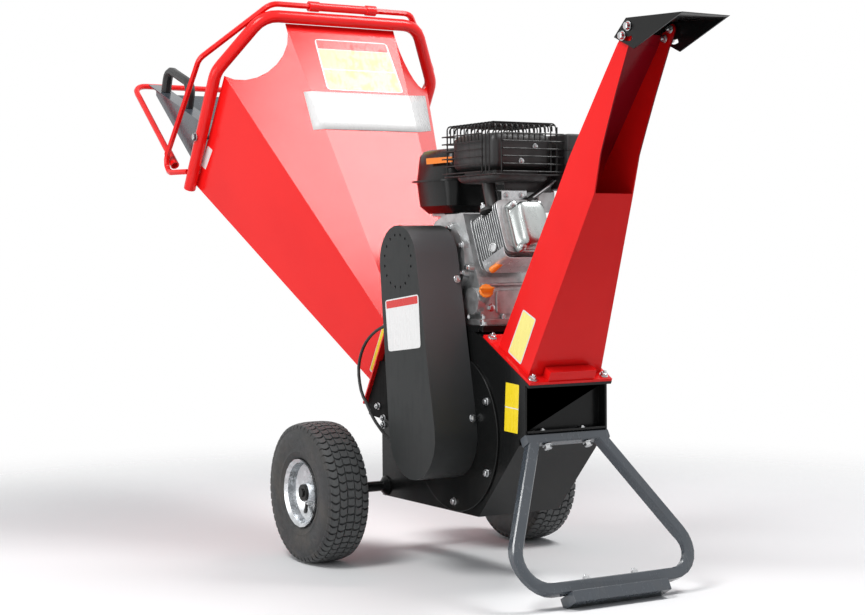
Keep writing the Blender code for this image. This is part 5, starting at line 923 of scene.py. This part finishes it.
def rocker_cover():
    """Lip, then a wall whose rings shrink and grow rounder, closed by a low crown; four bosses
    stand on the lip at its corners."""
    rows = ((0.2052, 0.0, 0.30), (0.2098, 0.0, 0.30), (0.2106, 0.0010, 0.31), (0.2106, 0.0050, 0.34),
            (0.2120, 0.0062, 0.36), (0.2300, 0.0078, 0.38), (0.2380, 0.0088, 0.39), (0.2425, 0.0108, 0.40),
            (0.2448, 0.0140, 0.42), (0.2460, 0.0190, 0.45), (0.2466, 0.0270, 0.50))
    parts = [lofted([squircle(out, -0.007, 0.059 - shrink, 0.044 - shrink, power)
                     for out, shrink, power in rows])]
    boss = [(0.0, 0.0), (0.0092, 0.0), (0.0086, 0.0170), (0.0078, 0.0180), (0.0, 0.0180)]
    parts += [revolved(boss, on_cylinder(0.2055, up, y), CYLINDER_AXIS, 24) for up, y in ROCKER_BOLTS]
    piece = add_parts("rocker_cover_shell", parts, "bright", "chassis", 42.0, ("rocker_cover",))


def cooling_fins(name, node, start, end, count, core, reach):
    """Rings of a rounded square that step between the core and the fins along the cylinder;
    where the exhaust port sits, the height is held down to the port's face."""
    pitch = (end - start) / count
    rows = [(start, core, 0.30)]
    for index in range(count):
        middle = start + pitch * (index + 0.5)
        rows += [(middle + at, half, power) for at, half, power in (
            (-0.0012, core, 0.30), (-0.0012, reach - 0.0005, 0.24), (-0.0007, reach, 0.24),
            (0.0007, reach, 0.24), (0.0012, reach - 0.0005, 0.24), (0.0012, core, 0.30))]
    rows.append((end, core, 0.30))
    rings = []
    for out, half, power in rows:
        across, above = half * rounded(power, 96)
        if PORT[0] < out < PORT[1]:
            above = np.where(across < -0.012, np.minimum(above, 0.0445), above)
        rings.append([on_cylinder(out, up, CYLINDER_Y + y) for up, y in zip(above, across)])
    piece = add_parts(name, [lofted(rings)], "alloy", "chassis", 30.0, (node,))


def exhaust_pipe():
    """A round pipe on a curve: out square from the head, then up to the muffler's pan; its
    foot is a two-bolt flange whose outline is a rounded lozenge."""
    out, y = 0.159, -0.047
    start = on_cylinder(out, 0.052, y)
    path = bent(start, start + 0.050 * np.array(CYLINDER_UP), (0.3600, y, 0.8916), 14)
    angle = around(48)
    reach = 0.0215 + 0.0135 * np.cos(angle) ** 2
    rings = [[on_cylinder(out + (r - shrink) * 0.92 * math.sin(a), up, y + (r - shrink) * math.cos(a))
              for a, r in zip(angle, reach)] for up, shrink in ((0.0516, 0.0), (0.0580, 0.0), (0.0588, 0.0008))]
    piece = add_parts("exhaust_pipe", [tube(path, 0.0152, 28), lofted(rings)], "muffler", "chassis", 40.0,
                      ("exhaust_elbow",))


def oil_cap():
    """A ribbed disc, its radius waved by the cosine of twelve turns, and a wing handle whose
    half length and thickness shrink towards a rounded top."""
    axis = unit((0.830, -0.335, 0.446))
    level = unit(np.cross(axis, (0.0, 0.0, 1.0)))
    other = np.cross(axis, level)
    foot = np.array([0.4137, -0.0888, 0.6370]) + 0.0004 * axis
    angle = around(72)
    spokes = np.cos(angle)[:, None] * level + np.sin(angle)[:, None] * other
    disc = [foot + height * axis + (radius + wave * np.cos(12 * angle))[:, None] * spokes
            for height, radius, wave in ((0.0, 0.0150, 0.0), (0.0012, 0.0158, 0.0006), (0.0050, 0.0158, 0.0006),
                                         (0.0064, 0.0146, 0.0), (0.0068, 0.0120, 0.0))]
    long, side = rounded(0.55, 36)[:, :, None]
    wing = []
    for height, half, thick in ((0.0060, 0.0118, 0.0056), (0.0085, 0.0136, 0.0042), (0.0140, 0.0160, 0.0034),
                                (0.0175, 0.0164, 0.0034), (0.0196, 0.0150, 0.0030), (0.0206, 0.0120, 0.0020)):
        dip = 0.0022 * (height > 0.010) * (1.0 - long ** 2)
        wing.append(foot + (height - dip) * axis + half * long * level + thick * side * other)
    piece = add_parts("oil_filler_cap", [lofted(disc), lofted(wing)], "orange", "dipstick", 45.0, ("dipstick",))


def make_engine_details():
    """Shroud under the cylinder; its foot, the bosses, the intake stub, the cover plate and the
    rib of the castings; the second filler plug, the breather tube and the throttle rod."""
    curve = [(-0.0580 - 0.0140 * math.cos(t), -0.0590 - 0.0140 * math.sin(t))
             for t in np.linspace(0.0, 0.5 * math.pi, 6)]
    profile = [(-0.0720, -0.0480), (-0.0720, -0.0550)] + curve + [(-0.0300, -0.0730), (0.0500, -0.0730)]
    add_parts("cylinder_shroud", [ribbon(profile, 0.110, 0.198, -0.0014)], "sheet", "chassis", 40.0)
    plug_seat = [(0.0, 0.0), (0.0125, 0.0), (0.0108, 0.0110), (0.0095, 0.0120), (0.0070, 0.0120),
                 (0.0065, 0.0105), (0.0, 0.0105)]
    boss = [(0.0, 0.0), (0.0125, 0.0), (0.0110, 0.0130), (0.0098, 0.0141), (0.0, 0.0141)]
    parts = [lofted([squircle(out, 0.0, 0.0665 - shrink, 0.0665 - shrink, 0.22)
                     for out, shrink in ((0.0905, 0.0), (0.0945, 0.0), (0.0955, 0.001))]),
             revolved(plug_seat, on_cylinder(0.158, -0.034, -0.0640), (0.25, -0.95, 0.10), 28),
             revolved([(0.0, 0.0), (0.0100, 0.0), (0.0088, 0.0120), (0.0, 0.0122)], (0.3560, -0.0868, 0.6890),
                      (0, -1, 0), 24)]
    parts += [revolved(boss, spot, (0, -1, 0), 24) for spot in bolt_circle(*COVER_BOLTS, -0.0860)]
    parts += [tube([on_cylinder(0.192, 0.040, 0.030), (0.3852, 0.0612, 0.8380)], (0.0120, 0.0100), 24),
              pad(((0.3870, 0.0), (0.3902, 0.0), (0.3912, 0.0012)), (0.004, 0.6120), (0.050, 0.0270), 0.30, 0),
              pad(((0.3868, 0.0), (0.3930, 0.0008), (0.3945, 0.0022)), (-0.0005, 0.6520),
                  (0.0840, 0.0035), 0.30, 0)]
    add_parts("casting_bosses", parts, "alloy", "chassis")
    axis, top = unit((-0.41, -0.72, -0.56)), (0.4300, -0.0560, 0.7000)
    plug = [(0.0, 0.0), (0.0045, 0.0), (0.0050, 0.004), (0.0078, 0.024), (0.0074, 0.030), (0.0050, 0.033),
            (0.0, 0.034)]
    add_parts("filler_plug", [revolved(plug, top, axis, 24)], "orange", "chassis")
    stem = [(0.0, -0.040), (0.0040, -0.040), (0.0040, 0.0), (0.0, 0.0)]
    add_parts("filler_tube", [revolved(stem, top, axis, 16)], "sheet", "chassis")
    path = bent((0.4180, 0.0180, 0.8360), (0.4130, 0.0600, 0.8600), (0.4050, 0.1100, 0.8860), 12)
    add_parts("breather_tube", [tube(path, 0.0060, 18)], "cable", "chassis")
    rod = tube([(0.4250, 0.0300, 0.8440), (0.4150, 0.1080, 0.8880)], 0.0018, 10)
    add_parts("throttle_rod", [rod], "sheet", "chassis")


def carburettor_bracket():
    """A zinc plate above the head, folded along its foot, with two screws."""
    add_parts("carburettor_bracket", [box_form((0.4070, -0.0420, 0.8370), (0.4088, 0.0240, 0.8600), 0.0003),
                                      box_form((0.3800, -0.0420, 0.8585), (0.4088, 0.0240, 0.8602), 0.0003)],
              "zinc", "chassis")
    fasteners("bracket_screws", "chassis", [((0.4088, y, 0.8490), (1, 0, 0), (0.0090, 0.0045, 0.0070))
                                            for y in (-0.030, 0.010)])


def muffler_belly():
    """Rounded squares that shrink downwards under the muffler's pan, and a heat shield."""
    rows = ((0.8925, 0.0), (0.8895, 0.0), (0.8840, 0.0025), (0.8795, 0.0080), (0.8775, 0.0150),
            (0.8770, 0.0240))
    add_parts("muffler_belly", [pad(rows, (0.3530, -0.0030), (0.0850, 0.0780), 0.30, 2),
                                box_form((0.3985, -0.0300, 0.8560), (0.4005, 0.0960, 0.8935), 0.0004)],
              "muffler", "chassis", 50.0)


def recoil_details():
    """Bars in a ring on the recoil cover, a raised middle, screws round the blower housing, the
    bolt on the rotor's shaft, and a lip with two clips round the air cleaner's lid."""
    centre = np.array([CRANK[0], 0.1815, CRANK[1]])
    parts = []
    for turn in around(24):
        along = np.array([math.cos(turn), 0.0, math.sin(turn)])
        aside = np.array([-math.sin(turn), 0.0, math.cos(turn)])
        parts.append(lofted([[centre + (0.0, y, 0.0) + reach * along + half * aside for reach, half in (
            (0.030 + s, -0.0018 + s), (0.062 - s, -0.0030 + s), (0.062 - s, 0.0030 - s),
            (0.030 + s, 0.0018 - s))]
            for y, s in ((0.0, 0.0), (0.0020, 0.0), (0.0028, 0.0008))]))
    middle = [(0.0, 0.0), (0.0240, 0.0), (0.0235, 0.0020), (0.0200, 0.0034), (0.0, 0.0040)]
    parts.append(revolved(middle, centre, (0, 1, 0), 40))
    add_parts("recoil_cover_bars", parts, "plastic", "chassis")
    fasteners("blower_screws", "chassis", [(spot, (0, 1, 0), (0.0085, 0.0050, 0.0062))
                                           for spot in bolt_circle(4, 45.0, 0.0980, CRANK, 0.1479)])
    fasteners("shaft_end_bolt", "rotor", [((ROTOR[0], 0.1291, ROTOR[1]), (0, 1, 0), (0.0160, 0.0070, 0.0120))])
    lip = ((0.9480, 0.0), (0.9484, -0.0016), (0.9530, -0.0020), (0.9534, 0.0))
    add_parts("air_cleaner_lip", [pad(lip, (0.4027, 0.1512), (0.0627, 0.0540), 0.08, 2),
                                  box_form((0.4650, 0.1420, 0.9380), (0.4685, 0.1560, 0.9640), 0.0010),
                                  box_form((0.3950, 0.2050, 0.9380), (0.4090, 0.2080, 0.9640), 0.0010)],
              "plastic", "chassis")


def guard_seam():
    """A thin bead across the guard's face and round its front wall."""
    path = [(0.2003, -0.2220, 0.5477), (0.3610, -0.2220, 0.5477), (0.3658, -0.2185, 0.5478),
            (0.3663, -0.1300, 0.5470)]
    add_parts("guard_seam", [tube(path, 0.0007, 6)], "guard", "chassis")


HUB_FACE = 0.3000          # where the rims' discs carry their bolts


def wheel_details(name, side, body):
    """Five bolts round the hub on the rim's disc, and a valve stem a little farther out."""
    fasteners("hub_bolts_" + name, body, [(spot, (0, side, 0), (0.0100, 0.0055, 0.0080), 0.0030) for spot in
                                          bolt_circle(5, 18.0, 0.0370, (AXLE_X, WHEEL_Z), side * HUB_FACE)])
    stem = [(0.0, 0.0), (0.0075, 0.0), (0.0062, 0.0040), (0.0040, 0.0080), (0.0038, 0.0260), (0.0046, 0.0265),
            (0.0046, 0.0340), (0.0036, 0.0360), (0.0, 0.0362)]
    foot = (AXLE_X - 0.0356, side * 0.3010, WHEEL_Z - 0.0219)
    add_parts("valve_stem_" + name, [revolved(stem, foot, (0.45, side * 0.40, -0.80), 20)], "cable", body)


def chute_cheeks():
    """The chute's side walls carried on up between the deflector's sides as four-cornered
    sheets with a thickness along Y, and a narrow back wall between them."""
    for name, y in (("near", -0.0497), ("far", 0.0497)):
        rings = [[(0.8422, y + s, 1.1350), (0.8590, y + s, 1.1590), (0.8960, y + s, 1.1680),
                  (0.8752, y + s, 1.1225)] for s in (-0.0015, 0.0015)]
        add_parts("chute_cheek_" + name, [lofted(rings)], "red_chute", "chassis")
    rings = [[(0.8422, y, 1.1350), (0.8560, y, 1.1555), (0.8582, y, 1.1540), (0.8444, y, 1.1335)]
             for y in (-0.0497, 0.0497)]
    add_parts("chute_cheek_back", [lofted(rings)], "red_chute", "chassis")


carburettor_bracket()
muffler_belly()
recoil_details()
guard_seam()
wheel_details("near", -1, "wheel_near")
wheel_details("far", 1, "wheel_far")
cooling_fins("cylinder_fins", "cylinder", 0.0956, 0.1377, 5, 0.050, 0.062)
cooling_fins("head_fins", "cylinder_head", 0.1382, 0.2046, 8, 0.053, 0.063)
rocker_cover()
exhaust_pipe()
oil_cap()
make_engine_details()
chute_cheeks()
